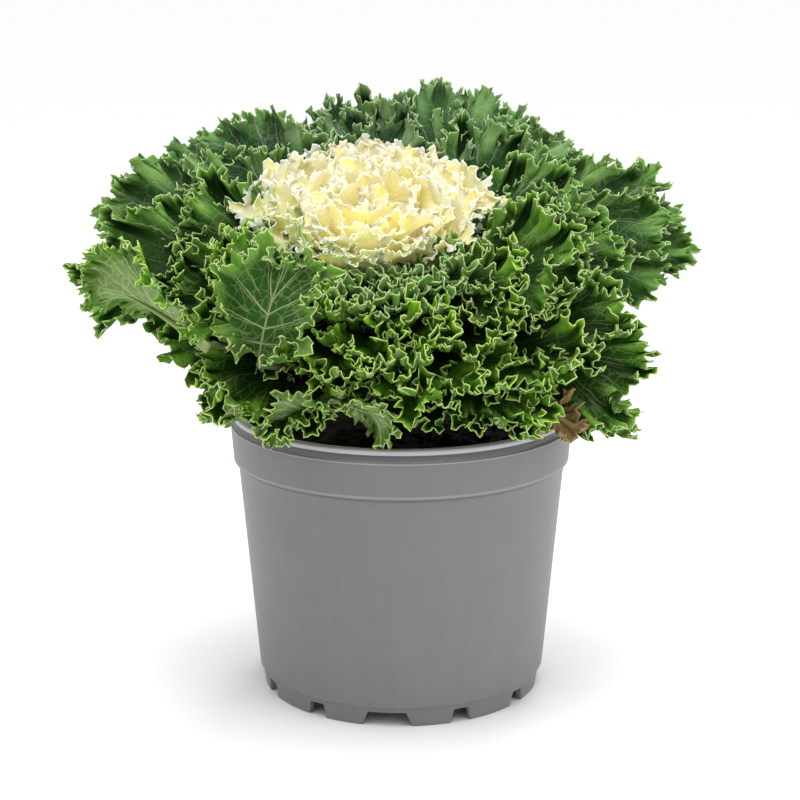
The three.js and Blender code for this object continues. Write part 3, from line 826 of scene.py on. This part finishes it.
def blade_sheet(leaf, random):
    """The folded middle surface of a blade and what the finish needs to know about every point of it."""
    length = leaf_length(leaf)
    outline = math.pi * (0.55 * leaf["width"] + 0.45 * length * (1 - leaf["petiole"])) * 0.97
    columns = 4 * math.ceil(outline * leaf["stretch"] / leaf["pitch"] / 4)
    turn = np.linspace(-1, 1, columns + 1)[None, :]
    share = ROW_SHARES[:, None]
    curled = np.clip((share - CURL_START) / (1 - CURL_START), 0, 1) ** 2
    along, across, angle = flat_fan(leaf, turn, share - CURL_BACK * curled * leaf["curl"] / 6)
    lobes = leaf["lobe"] * wander(turn, random, 9) * share ** 2
    along = along + lobes * np.cos(angle) * 0.5
    across = across * (1 + lobes)
    cup = math.radians(leaf["cup"])
    lift = (np.sqrt(across ** 2 + SOFT_MIDDLE ** 2) - SOFT_MIDDLE) * math.sin(cup)
    curl = leaf["curl"] * curled * (1 + 0.5 * wander(turn, random, 7))
    lift = lift + curl * smooth_step((1 - np.abs(turn)) / 0.2)
    fall = -leaf["droop"] * share ** 2 * np.maximum(0, np.cos(angle / 2))
    place, side, normal = leaf_frame(leaf, along)
    points = place + side * (across * math.cos(cup))[..., None] + normal * (lift + fall)[..., None]

    spread = np.linalg.norm(np.gradient(points, axis=1), axis=-1) / (2 / columns)
    ray = np.linalg.norm(points[-1] - points[0], axis=-1)[None, :]
    quiet = smooth_step((1 - np.abs(turn)) / 0.09)
    height = np.zeros_like(spread)
    for wave, first, swing in leaf["folds"]:
        way = margin_length(points)[None, :]
        count = way[0, -1] / (wave * random.uniform(0.88, 1.12))
        evenly = 2 * way / way[0, -1] - 1
        cycles = count * (way / way[0, -1] + JITTER * wander(evenly, random, 5)) + random.uniform(0, 1)
        growth = smooth_step((share - first) / (1 - first))
        uneven = 1 + leaf["uneven"] * wander(evenly, random, 11)
        points, rise = folded(points, cycles, wave, np.clip(swing * growth * uneven * quiet, 0, MOST_SWING))
        height = height + rise
    points = toothed(points, leaf, random)
    values = {
        "ray": np.stack([np.abs(turn) + 0 * share, share + 0 * turn, spread], -1),
        "flat": np.stack([across, along * length + leaf["ahead"], leaf["number"] * 7.0 + 0 * across], -1),
        "edge": (1 - share) * ray,
        "height": height,
    }
    return points, normal, values


def toothed(points, leaf, random):
    """Cuts the margin into small lobes with teeth: every second point stands out, and the others lie back.

    A lobe is the curve |cos(pi c)| ^ 0.6, round at the tip and narrow in the bay, c being lobes so far.
    """
    outward = unit(np.gradient(points, axis=0))
    columns = points.shape[1]
    count = np.arange(columns)
    so_far = count / leaf["lobe_columns"] + 0.5 * wander(np.linspace(-1, 1, columns), random, 9)
    lobes = leaf["cut"] * (np.abs(np.cos(math.pi * so_far)) ** 0.6 - 0.6)
    teeth = leaf["tooth"] * np.where(count % 2 == 0, 0.5, -0.5) * random.uniform(0.4, 1.4, columns)
    for row, share in LOBE_ROWS.items():
        out = lobes * share + teeth * TOOTH_ROWS.get(row, 0.0)
        points[row] = points[row] + outward[row] * out[:, None]
    return points


print("a blade has", len(ROW_SHARES), "rows")


# %% From the sheet to a closed blade
def sheet_faces(numbers):
    """Triangles of the sheet, with fewer columns towards the midrib."""
    parts = []
    for row in range(len(ROW_STEPS) - 1):
        step, outer_step = ROW_STEPS[row], ROW_STEPS[row + 1]
        inner, outer = numbers[row, ::step], numbers[row + 1, ::outer_step]
        if step == outer_step:
            parts.append(cell_faces(np.stack([inner, outer])))
        else:
            parts.append(seam_faces(inner, outer))
    return np.concatenate(parts)


def blade_shape(leaf, random):
    """Two faces and a rim. The first row lies on the midrib, so its two halves share their points."""
    points, frame_normal, values = blade_sheet(leaf, random)
    rows, columns = points.shape[:2]
    normal = sheet_directions(points)[2]
    normal[0] = frame_normal[0]
    thick = (leaf["thick"] * (1 - 0.35 * ROW_SHARES))[:, None, None] / 2
    upper, lower = points + normal * thick, points - normal * thick
    numbers = grid_numbers(rows, columns)
    numbers[0] = np.minimum(numbers[0], numbers[0, ::-1])
    below = numbers + rows * columns
    path = np.concatenate([numbers[:, 0], numbers[-1, 1:], numbers[-2::-1, -1]])
    path_below = path + rows * columns
    faces = np.concatenate([
        sheet_faces(numbers)[:, ::-1],
        sheet_faces(below),
        cell_faces(np.stack([path_below, path])),
    ])
    zero = np.zeros((rows, columns))
    halves = [{
        "ray": values["ray"],
        "flat": values["flat"],
        "look": np.stack([zero + under, values["edge"], zero], -1),
        "form": np.stack([height, zero + leaf["deep"], zero], -1),
        "tone": zero[..., None] + leaf["tone"],
    } for under, height in ((0.0, values["height"]), (1.0, -values["height"]))]
    both = {key: np.concatenate([half[key] for half in halves]) for key in halves[0]}
    return Shape(np.concatenate([upper, lower]), faces, both)


RIB_SIDES = 8
RIB_STEPS = 22


def rings_round(place, side, up, across, upwards):
    """Rings about the places of a curve, each in the plane of its own side and up."""
    place, side, up = (rows.reshape(-1, 1, 3) for rows in (place, side, up))
    return place + side * across[..., None] + up * upwards[..., None]


def tube_values(across, along, mark, look, tone):
    """What the finish reads on a rib or a stalk: it lies 30 mm from the next ray, and has no folds."""
    rows = {"ray": (0, 0, 30), "flat": (across, along, mark), "look": look, "form": (0, 0, 0), "tone": tone}
    return {key: np.stack([0.0 * along + value for value in row], -1) for key, row in rows.items()}


def rib_shape(leaf):
    """The petiole and midrib: a tube of oval sections that thins towards the tip, under the blade."""
    end = leaf["petiole"] + 0.7 * (1 - leaf["petiole"])
    along = np.linspace(-0.02, end, RIB_STEPS)[:, None]
    thin = np.clip(1 - along / (1.02 * end), 0, 1)
    half_width = leaf["rib"] * (0.10 + 0.90 * thin)
    half_depth = half_width * (0.55 + 0.25 * thin)
    angle = around(RIB_SIDES)
    off = half_depth * (np.sin(angle) - 0.75) - 0.5 * (1 - thin)
    points = rings_round(*leaf_frame(leaf, along), half_width * np.cos(angle), off)
    share = np.append(np.repeat(along, RIB_SIDES), [0, 0])
    flat = share * leaf_length(leaf) + leaf["ahead"]
    values = tube_values(0, flat, leaf["number"] * 7.0, (0, 20, 0.3), leaf["tone"])
    return capped_rings(points, [points[0].mean(axis=0), points[-1].mean(axis=0)], values)


print("each leaf is a blade and a rib")

# %% [markdown]
# ## Where the leaves stand
#
# Each row of a table is one leaf: its turn about the axis, how far out and how high its tip is, where it
# leaves the stem, how far it arches over its tip, and its width. The whorls have axes of their own, because
# the stem leans: the lowest leaves stand nearly level over the pot, and the crown and the heart tip towards
# the viewer.

# %% Whorls and tables
CROWN = {"place": (-12, -3, 168), "lean": 26}
LOWER_WHORL = {"place": (-7, 0, 150), "lean": 8}
HEART = {"place": (-13, 4, 173), "lean": 24}

LOWER_LEAVES = [
    (-16, 107, -32, -8, 30, 60),
    (-58, 94, -12, -16, 12, 60),
    (-85, 78, 6, -14, 2, 48),
    (-120, 90, -10, -12, 8, 54),
    (-140, 92, -12, -8, 12, 46),
    (-156, 66, -4, -8, 16, 40),
    (152, 88, 4, -16, 26, 62),
    (98, 86, 4, -8, 26, 62),
    (42, 90, -2, -12, 28, 62),
]
LARGE_LEAVES = [
    (185, 116, 13, -28, 18, 60),
    (165, 117, 11, -32, 16, 68),
    (147, 117, 5, -28, 18, 66),
    (138, 91, 31, -30, 8, 60),
    (88, 93, 30, -28, 8, 56),
    (61, 98, 34, -32, 6, 68),
    (50, 110, 27, -28, 10, 66),
    (37, 118, 17, -30, 14, 64),
    (16, 134, 16, -20, 8, 54),
    (7, 135, 8, -20, 4, 54),
    (2, 100, 10, -20, 8, 58),
    (348, 95, -12, -32, 20, 58),
    (334, 121, -14, -28, 16, 66),
    (309, 105, -3, -32, 2, 66),
    (286, 93, 13, -28, -4, 62),
    (262, 88, 16, -32, -6, 60),
    (238, 98, 5, -28, -4, 64),
    (213, 90, 6, -32, 4, 62),
    (116, 92, -16, -36, 16, 66),
    (66, 104, -16, -36, 16, 66),
]
COLLAR_LEAVES = [
    (8, 92, 18, -8, 12, 62),
    (38, 90, 24, -4, 6, 62),
    (68, 80, 32, -8, 0, 58),
    (98, 78, 34, -4, -2, 58),
    (128, 80, 24, -8, 0, 56),
    (158, 82, 20, -4, 6, 60),
    (188, 78, 20, -8, 8, 58),
    (218, 71, 27, -4, -4, 54),
    (248, 69, 27, -8, -8, 52),
    (278, 70, 26, -4, -8, 52),
    (308, 76, 24, -8, -4, 54),
    (338, 86, 20, -4, 4, 58),
]

# Between the collar and the large leaves in front, and close round the heart, short leaves fill the gaps.
MIDDLE_LEAVES = [
    (turn, 84 + 14 * max(0, math.sin(math.radians(turn))), 16, -16, 0, 50) for turn in range(4, 364, 25)
]
FRONT_LEAVES = [(300, 92, 6, -20, 0, 50), (322, 100, 2, -20, 0, 50), (342, 106, 2, -20, 4, 50)]
CLOSE_LEAVES = [(turn, 50, 28, 2, -6, 32) for turn in range(205, 340, 23)]
INNER_LEAVES = [
    (turn, 62 + 4 * math.sin(math.radians(turn)), 17 - 8 * math.sin(math.radians(turn - 20)), 0, -4, 40)
    for turn in range(12, 372, 26)
]

# What the leaves of a kind share. A fold is its length at the margin, the share where it starts and its swing.
GREEN = {
    "root_radius": 6, "knee": 0.45, "cup": 12, "petiole": 0.22, "droop": 6, "rib": 3.4, "thick": 0.6,
    "tooth": 0.7, "cut": 2.3, "lobe_columns": 7.0, "curl": 4.5, "lobe": 0.08, "uneven": 0.25,
    "stretch": 3.0, "pitch": COLUMN_PITCH, "loose": 1.0, "deep": 0.5, "ahead": 0.0,
}
LOWER = {**GREEN, "roll": 12, "deep": 0.85, "folds": [(25, 0.15, 0.7), (10.5, 0.5, 1.2), (5.4, 0.76, 1.1)]}
LARGE = {**GREEN, "roll": 38, "folds": [(25, 0.15, 0.65), (9.5, 0.7, 1.2), (5.2, 0.83, 1.15)]}
LARGE_FRONT = {**LARGE, "deep": 0.75, "folds": [(25, 0.15, 0.65), (10.0, 0.5, 1.2), (5.4, 0.76, 1.1)]}
COLLAR = {
    **GREEN, "roll": 26, "rib": 2.6, "droop": 0, "deep": 0.85,
    "folds": [(24, 0.15, 0.8), (10.0, 0.54, 1.2), (5.4, 0.78, 1.05)],
}
SMALL = {**COLLAR, "petiole": 0.42, "folds": [(22, 0.15, 0.75), (9.5, 0.58, 1.2), (5.2, 0.78, 1.05)]}
INNER = {**SMALL, "roll": 8}
CREAM = {
    **GREEN, "root_radius": 3, "knee": 0.85, "cup": 18, "petiole": 0.3, "droop": 0, "roll": 20, "rib": 2.2,
    "thick": 0.5, "tooth": 0.5, "cut": 1.2, "lobe_columns": 5.6, "curl": 0.0, "lobe": 0.06, "uneven": 0.3,
    "stretch": 1.7, "pitch": 0.7, "loose": 0.4, "deep": 0.0,
    "folds": [(24, 0.15, 0.6), (9.5, 0.68, 1.0), (4.6, 0.86, 0.85)],
}
FIELDS = ("turn", "reach", "tip", "root", "arch", "width")


def make_leaves(table, shared, whorl, random, tones):
    """A blade and a rib for each row of the table; small random sways keep two leaves from being alike."""
    shapes = []
    for number, row in enumerate(table):
        leaf = {**shared, **dict(zip(FIELDS, row)), "number": number}
        leaf["sway"] = random.uniform(-4, 4)
        facing = leaf["roll"] * math.cos(math.radians(leaf["turn"])) + random.uniform(-5, 5)
        leaf["roll"] = leaf.get("fixed_roll", facing)
        leaf["twist"] = leaf["loose"] * random.uniform(-22, 22)
        leaf["turn"] += leaf["loose"] * random.uniform(-4, 4)
        leaf["reach"] += leaf["loose"] * random.uniform(-3, 3)
        leaf["cup"] += leaf["loose"] * random.uniform(-8, 8)
        leaf["tone"] = tones(leaf, random)
        for shape in (blade_shape(leaf, random), rib_shape(leaf)):
            shape.points = in_whorl(whorl, shape.points)
            shapes.append(shape)
    return shapes


def green_tones(leaf, random):
    """How light the leaf is, how yellow its green and veins are (most in front), and how withered it is."""
    front = 0.5 - 0.5 * math.sin(math.radians(leaf["turn"]))
    return (random.uniform(0.2, 0.75), 0.1 + 0.8 * front, 0.0)


def grey_tones(leaf, random):
    """The small leaves round the heart keep a bloom of wax: they are light, and hardly yellow."""
    return (random.uniform(0.5, 0.9), 0.45, 0.0)


print(len(LOWER_LEAVES) + len(LARGE_LEAVES) + len(COLLAR_LEAVES), "green leaves are listed")

# %% [markdown]
# ### Green leaf
#
# The blade is a dull blue-green with a thin bloom of wax. Its veins are pale: strong ones that follow the
# rays, and a net of fine ones between them. The frills are fresher and yellower than the middle, and the very
# margin is a thin pale line, which draws every fold. The lower face is a pale grey-green. Light and shade are
# painted in too: painted highlights on the crests of the folds and near the margin, painted shade in the
# troughs, over the inner blade and at the foot by the stalk. All of it is worked out from values that the
# blade carries: the ray and the share, a flat plan in millimetres, and the distance to the margin.

# %% The green leaf's finish
MAIN_VEINS = 4.5
NET_SIZE = 4.6


def vein_lines(turn, share, spread, count, width, wobble):
    """1 on lines that stand a part of the fan apart, 0 a width in millimetres away; they thin outwards."""
    away = abs(((turn + wobble) * count).fraction() - 0.5) * spread / count
    away = away / (1.15 - share * 0.9)
    return away.rises(width, width * 0.4)


def midrib_line(plan):
    """1 over the midrib, about 1 mm to a side at the stalk and 0.3 mm less every 30 mm towards the tip."""
    across, along, _ = plan.parts()
    return (abs(across) + along * 0.01).rises(0.9, 0.45)


def leaf_values(start):
    """The values that a leaf's points carry, as single numbers."""
    read = {key: start.node("ShaderNodeAttribute", {"attribute_name": key}, out="Vector")
            for key in ("ray", "flat", "look", "tone", "form")}
    turn, share, spread = read["ray"].parts()
    under, edge, rib = read["look"].parts()
    light, yellow, withered = read["tone"].parts()
    height, deep, _ = read["form"].parts()
    return read["flat"], turn, share, spread, under, edge, rib, light, yellow, withered, height, deep


def green_finish():
    material, start = start_finish("green_leaf")
    plan, turn, share, spread, under, edge, rib, light, yellow, withered, height, deep = leaf_values(start)
    clouds = plan.noise(0.06, 3.0)
    wobble = (clouds - 0.5) * 0.11
    main = vein_lines(turn, share, spread, MAIN_VEINS, 0.48, wobble).higher(midrib_line(plan))
    forks = vein_lines(turn, share, spread, MAIN_VEINS * 2, 0.36, wobble + 0.03) * share.rises(0.2, 0.45)
    twigs = vein_lines(turn, share, spread, MAIN_VEINS * 4, 0.3, wobble + 0.01) * share.rises(0.5, 0.7)
    bent = plan.noise(0.5, 1.0, "Color")
    shifted = start.node("ShaderNodeVectorMath", {"operation": "MULTIPLY_ADD"},
                         {0: bent, 1: (1.6, 1.6, 0.0), 2: plan})
    cells = start.node("ShaderNodeTexVoronoi", {"feature": "DISTANCE_TO_EDGE"},
                       {"Vector": shifted, "Scale": 1 / NET_SIZE}, out="Distance")
    net = cells.rises(0.06, 0.02) * (yellow * 0.35 + 0.12)
    veins = main.higher(forks * 0.8).higher(twigs * 0.5).higher(net)
    frill = share.rises(0.62, 0.95)

    middle = yellow.mixed(rgb(0.018, 0.060, 0.022), rgb(0.010, 0.050, 0.001))
    fresh = yellow.mixed(rgb(0.042, 0.118, 0.030), rgb(0.050, 0.225, 0.001))
    lightness = ((light - 0.5) * 1.2).rises(-0.3, 0.6)
    # painted highlight: the crests of the folds and the last 6 mm before the margin are lighter
    painted_crest_light = height.rises(0.2, 3.0).higher(edge.rises(6.0, 0.5) * 0.8) * 0.7
    blade = coats(frill.mixed(middle, fresh), [
        (clouds.rises(0.3, 0.75) * 0.5, rgb(0.018, 0.055, 0.009)),
        (lightness, yellow.mixed(rgb(0.070, 0.165, 0.055), rgb(0.080, 0.285, 0.002))),
        (painted_crest_light, yellow.mixed(rgb(0.23, 0.38, 0.18), rgb(0.28, 0.62, 0.01))),
    ])
    upper = (veins * 0.8).mixed(blade, yellow.mixed(rgb(0.46, 0.44, 0.42), rgb(0.30, 0.38, 0.06)))
    pale = frill.mixed(rgb(0.17, 0.28, 0.085), yellow.mixed(rgb(0.13, 0.23, 0.07), rgb(0.09, 0.23, 0.012)))
    lower = (veins * 0.85).mixed(pale, rgb(0.56, 0.60, 0.34))
    # painted shade: the troughs of the folds, away from the margin, turn nearly black
    hollow = height.rises(0.8, -2.2) * edge.rises(0.3, 3.2) * (deep * 0.65 + 0.4)
    colour = coats(under.mixed(upper, lower), [
        (rib, rgb(0.34, 0.40, 0.20)),
        (hollow, rgb(0.004, 0.016, 0.001)),
        # painted shade: the inner part of the blade darkens, as much as the leaf's painted shade weight says
        (share.rises(0.75, 0.35) * deep, rgb(0.006, 0.024, 0.001)),
        # painted shade: the blade darkens over its first 34 mm from the stalk
        (plan.parts()[1].rises(34.0, 6.0) * 0.7, rgb(0.008, 0.026, 0.003)),
        (edge.rises(0.26, 0.03) * 0.8, yellow.mixed(rgb(0.54, 0.66, 0.40), rgb(0.62, 0.78, 0.22))),
        (withered, clouds.mixed(rgb(0.25, 0.17, 0.07), rgb(0.42, 0.31, 0.14))),
    ])
    surface = veins * -0.5 + cells.rises(0.0, 0.35) * 0.35 + clouds * 0.3
    end_finish(start, {
        "Base Color": colour, "Roughness": clouds * 0.15 + 0.42, "Normal": surface.relief(0.55, 0.0008),
        "Specular IOR Level": 0.05, "Subsurface Weight": 0.1, "Subsurface Radius": (0.5, 1.0, 0.25),
        "Subsurface Scale": 0.0012,
    })
    return material


green_leaf = green_finish()
print("green leaf finish has", len(green_leaf.node_tree.nodes), "nodes")

# %% The green leaves
BACK_LEAVES = [row for row in LARGE_LEAVES if row[0] % 360 < 180]
FAN_LEAVES = [row for row in LARGE_LEAVES if row[0] % 360 >= 180]
GREEN_PIECES = [
    ("lower_leaves", LOWER_LEAVES, LOWER, LOWER_WHORL, green_tones),
    ("back_leaves", BACK_LEAVES, LARGE, CROWN, green_tones),
    ("front_leaves", FAN_LEAVES, LARGE_FRONT, CROWN, green_tones),
    ("collar_leaves", COLLAR_LEAVES, COLLAR, CROWN, green_tones),
    ("middle_leaves", MIDDLE_LEAVES + FRONT_LEAVES, SMALL, CROWN, green_tones),
    ("inner_leaves", INNER_LEAVES + CLOSE_LEAVES, INNER, CROWN, grey_tones),
]
leaf_random = np.random.default_rng(20)
for name, table, kind, whorl, tones in GREEN_PIECES:
    leaves = joined(make_leaves(table, kind, whorl, leaf_random, tones))
    add_piece(name, leaves, green_leaf, "leafy_stem")

# %% [markdown]
# ### Leaves that don't follow the whorl
#
# A few leaves stand apart, and the eye finds them first: one that turned its blade up to face forward, a
# large and three small ones at the left that show their pale lower faces, and an old one that withered over
# the rim. All but the withered one have a foot of their own place, with a stalk that runs back to the stem.

# %% Single leaves
FOOTED = {"root_radius": 0, "petiole": 0.06, "deep": 0.0}
PALE = {**FOOTED, "ahead": 34.0, "curl": -2.0, "rib": 1.6, "tone": (0.7, 0.7, 0.0)}
OVER_RIM = {**PALE, "cup": 25, "folds": [(24, 0.3, 0.5), (9.5, 0.66, 1.1), (5.0, 0.82, 1.0)]}
SINGLE_LEAVES = {
    # name: foot, row as in the tables, what differs from the lower leaves
    "front_fan": (
        (-52, -82, 152), (60, 16, 40, 0, -19, 47),
        {**FOOTED, "ahead": 12.0, "lobe": 0.14, "curl": 3.0, "cup": 6, "droop": 2, "knee": 0.3, "rib": 1.5,
         "tone": (0.45, 0.6, 0.0), "folds": [(26, 0.3, 0.5), (10.5, 0.72, 1.3), (6.0, 0.84, 1.0)]},
    ),
    "pale_side": (
        (-71, -70, 157), (160, 50, 23, 0, -9, 58),
        {**PALE, "cup": 30, "fixed_roll": 56, "rib": 2.6, "tone": (0.7, 0.8, 0.0),
         "folds": [(26, 0.3, 0.5), (9.5, 0.66, 1.2), (4.8, 0.82, 1.2)]},
    ),
    "withered": (
        LOWER_WHORL["place"], (-36, 95, -27, -14, 24, 32),
        {"rib": 1.6, "petiole": 0.5, "tone": (0.5, 0.5, 1.0), "folds": [(12, 0.1, 1.3), (6.0, 0.4, 1.3)]},
    ),
    "pale_low": (
        (-54, -65, 133), (172, 20, -1, 0, -4, 36),
        {**PALE, "cup": 30, "fixed_roll": 52, "cut": 1.4,
         "folds": [(20, 0.3, 0.5), (8.0, 0.66, 0.9), (4.4, 0.82, 0.8)]},
    ),
    "over_rim_left": ((-25, -67, 136), (186, 29, -9, 0, 5, 34), {**OVER_RIM, "fixed_roll": 50}),
    "over_rim_right": ((-24, -67, 136), (352, 22, -9, 0, 5, 32), {**OVER_RIM, "fixed_roll": -50}),
}
STALK_START = (-5, 0, 138)
STALK_SAG = 8
STALK_RADIUS = 1.9


def stalk_shape(foot, tone):
    """A thin tube from the stem to a leaf's foot: a curve of three controls that sags on its way."""
    start, end = np.array(STALK_START, dtype=float), np.array(foot, dtype=float)
    bend = np.append((start + (end - start) * 0.7)[:2], end[2] - STALK_SAG)
    share = np.linspace(0, 1, RIB_STEPS)[:, None]
    place = (1 - share) ** 2 * start + 2 * share * (1 - share) * bend + share ** 2 * end
    forward = unit(np.gradient(place, axis=0))
    side = unit(np.cross(forward, [0.0, 0.0, 1.0]))
    angle = around(RIB_SIDES)
    radius = STALK_RADIUS - 0.7 * share
    points = rings_round(place, side, np.cross(side, forward), radius * np.cos(angle), radius * np.sin(angle))
    flat = np.zeros(RIB_STEPS * RIB_SIDES + 2)
    return capped_rings(points, place[[0, -1]], tube_values(20, flat, 0, (1, 20, 1), tone))


def single_leaf(foot, row, changes, random):
    """A leaf on its own foot, whose place stands in for the whorl's."""
    whorl = {"place": foot, "lean": 0}
    return make_leaves([row], {**LOWER, **changes}, whorl, random, lambda leaf, random: leaf["tone"])


single_shapes = []
for foot, row, changes in SINGLE_LEAVES.values():
    single_shapes += single_leaf(foot, row, changes, leaf_random)
    if changes.get("root_radius") == 0:
        single_shapes.append(stalk_shape(foot, changes["tone"]))
add_piece("single_leaves", joined(single_shapes), green_leaf, "leafy_stem")

# %% [markdown]
# ## The stem
#
# It stands in the peat, bends forward under its heavy head and thickens where the leaves are. Old leaf scars
# make it knobbly. It is a tube along a curve whose radius wavers.

# %% The stem
STEM_COLUMNS = 28
STEM_ROWS = 70
STEM_CURVE = [(-4, 2, 62), (-4, 2, 128), (-5, 5, 150), (-12, 1, 182)]
STEM_RADIUS = 7.6
STEM_SWELL = 4.5


def stem_shape():
    """Rings across a curve of four controls; the radius swells upwards and carries rows of scars."""
    share = np.linspace(0, 1, STEM_ROWS)[:, None]
    weights = [(1 - share) ** 3, 3 * share * (1 - share) ** 2, 3 * share ** 2 * (1 - share), share ** 3]
    place = sum(weight * np.array(control, dtype=float) for weight, control in zip(weights, STEM_CURVE))
    forward = unit(np.gradient(place, axis=0))
    side = unit(np.cross(forward, [0.0, 1.0, 0.0]))
    turn = around(STEM_COLUMNS)
    scars = np.maximum(0, np.sin(5 * turn + 26 * share) * np.sin(60 * share)) ** 2
    radius = STEM_RADIUS + STEM_SWELL * smooth_step((share - 0.45) / 0.4)
    radius = radius * (1 + 0.14 * scars * smooth_step((share - 0.35) / 0.1))
    radius = radius * np.sqrt(np.clip((1.02 - share) / 0.06, 0.02, 1))
    points = rings_round(place, side, np.cross(side, forward), radius * np.cos(turn), radius * np.sin(turn))
    return capped_rings(points, place[[0, -1]])


def stem_finish():
    material, start = start_finish("woody_stem")
    place = start.node("ShaderNodeTexCoord", out="Object")
    stretched = start.node("ShaderNodeMapping", None, {"Vector": place, "Scale": (1.0, 1.0, 0.3)})
    bark = stretched.noise(420.0, 5.0)
    # painted shade: the stem's brown is kept this dark for the shade it stands in under the leaves
    colour = coats(rgb(0.05, 0.038, 0.02), [
        (place.parts()[2].rises(0.118, 0.150), rgb(0.03, 0.05, 0.012)),
        (bark.rises(0.4, 0.7) * 0.6, rgb(0.07, 0.06, 0.03)),
    ])
    end_finish(start, {"Base Color": colour, "Roughness": 0.75, "Normal": bark.relief(0.7, 0.0006)})
    return material


add_piece("woody_stem", stem_shape(), stem_finish(), "leafy_stem")

# %% [markdown]
# ## The heart
#
# New leaves leave the tip one by one, each about 137.5 degrees on from the last, so no two ever stand in
# line. The young ones in the middle are upright and short, and the outer ones lean out. They are cream
# because they hold almost no green: yellow down where light has passed through many of them, and nearly white
# on the frilled margins.

# %% The heart's leaves
HEART_COUNT = 31
HEART_RADIUS = 48.5
HEART_HEIGHT = 42.0
HEART_CROWDING = 0.48
HEART_FALL = 9.0
HEART_SINK = 7.0
GOLDEN_TURN = 137.508
HEART_ROOT = 4
HEART_WIDTH = 22
HEART_WIDENING = 25
BUD_TURNS = (20, 110, 200, 290)
BUD_REACH = 3.0
BUD_HEIGHT = 31.0
BUD_WIDTH = 20
HEART_PARTS = (("heart_middle", 0, 18), ("heart_rim", 18, None))


def heart_table():
    """Leaf i ends at the radius R * s with s = ((i + 0.15) / n) ** crowding, at steps of the golden angle.

    Its tip is at H - fall * s ** 2 - sink * (1 - s) ** 2, lower at the rim and in the middle, where a few
    bud leaves close the hollow between the first leaves.
    """
    rows = []
    for number in range(HEART_COUNT):
        share = ((number + 0.15) / HEART_COUNT) ** HEART_CROWDING
        tip = HEART_HEIGHT - HEART_FALL * share ** 2 - HEART_SINK * (1 - share) ** 2
        width = HEART_WIDTH + HEART_WIDENING * share
        rows.append((number * GOLDEN_TURN, HEART_RADIUS * share, tip, HEART_ROOT, -14 + 2 * share, width))
    return rows + [(turn, BUD_REACH, BUD_HEIGHT, HEART_ROOT, -12, BUD_WIDTH) for turn in BUD_TURNS]


def cream_tones(leaf, random):
    """A spare draw, how yellow the leaf is (most at the right), and how green its margin is (in front)."""
    turn = math.radians(leaf["turn"])
    rim = smooth_step(np.array((leaf["reach"] - 31) / 9.0))
    front = max(0.0, -math.sin(turn + 0.35))
    return (random.uniform(0.3, 0.7), 0.55 + 0.28 * math.cos(turn), float(rim) * front)


def cream_finish():
    material, start = start_finish("cream_leaf")
    plan, turn, share, spread, under, edge, _, _, yellow, greening, height, _ = leaf_values(start)
    clouds = plan.noise(0.09, 3.0)
    wobble = (clouds - 0.5) * 0.12
    main = vein_lines(turn, share, spread, MAIN_VEINS, 0.5, wobble)
    forks = vein_lines(turn, share, spread, MAIN_VEINS * 2, 0.35, wobble + 0.03) * share.rises(0.2, 0.5)
    veins = main.higher(forks * 0.7)
    base = yellow.mixed(rgb(0.90, 0.83, 0.46), rgb(0.90, 0.78, 0.28))
    rim = yellow.mixed(rgb(0.92, 0.88, 0.72), rgb(0.92, 0.85, 0.58))
    colour = coats(share.rises(0.25, 0.95).mixed(base, rim), [
        # painted shade: the troughs of the folds turn a deeper yellow
        (height.rises(0.3, -2.0) * 0.7, rgb(0.84, 0.68, 0.12)),
        (veins * 0.3, rgb(0.88, 0.83, 0.58)),
        (greening * share.rises(0.42, 0.8) * clouds.rises(0.25, 0.5), rgb(0.27, 0.40, 0.11)),
        (under * 0.3, rgb(0.84, 0.78, 0.46)),
        (edge.rises(0.7, 0.1) * 0.8, rgb(0.95, 0.93, 0.84)),
    ])
    surface = veins * -0.5 + clouds * 0.4
    end_finish(start, {
        "Base Color": colour, "Roughness": clouds * 0.15 + 0.42, "Normal": surface.relief(0.5, 0.0008),
        # painted glow: a faint emission in the leaf's own colour stands in for light passed from leaf to leaf
        "Specular IOR Level": 0.15, "Emission Color": colour, "Emission Strength": 0.08,
        "Subsurface Weight": 0.7, "Subsurface Radius": (1.0, 0.85, 0.4), "Subsurface Scale": 0.003,
    })
    return material


cream_leaf = cream_finish()
heart_random = np.random.default_rng(7)
heart_rows = heart_table()
for name, first, last in HEART_PARTS:
    shapes = make_leaves(heart_rows[first:last], CREAM, HEART, heart_random, cream_tones)
    add_piece(name, joined(shapes), cream_leaf, "heart_leaves")
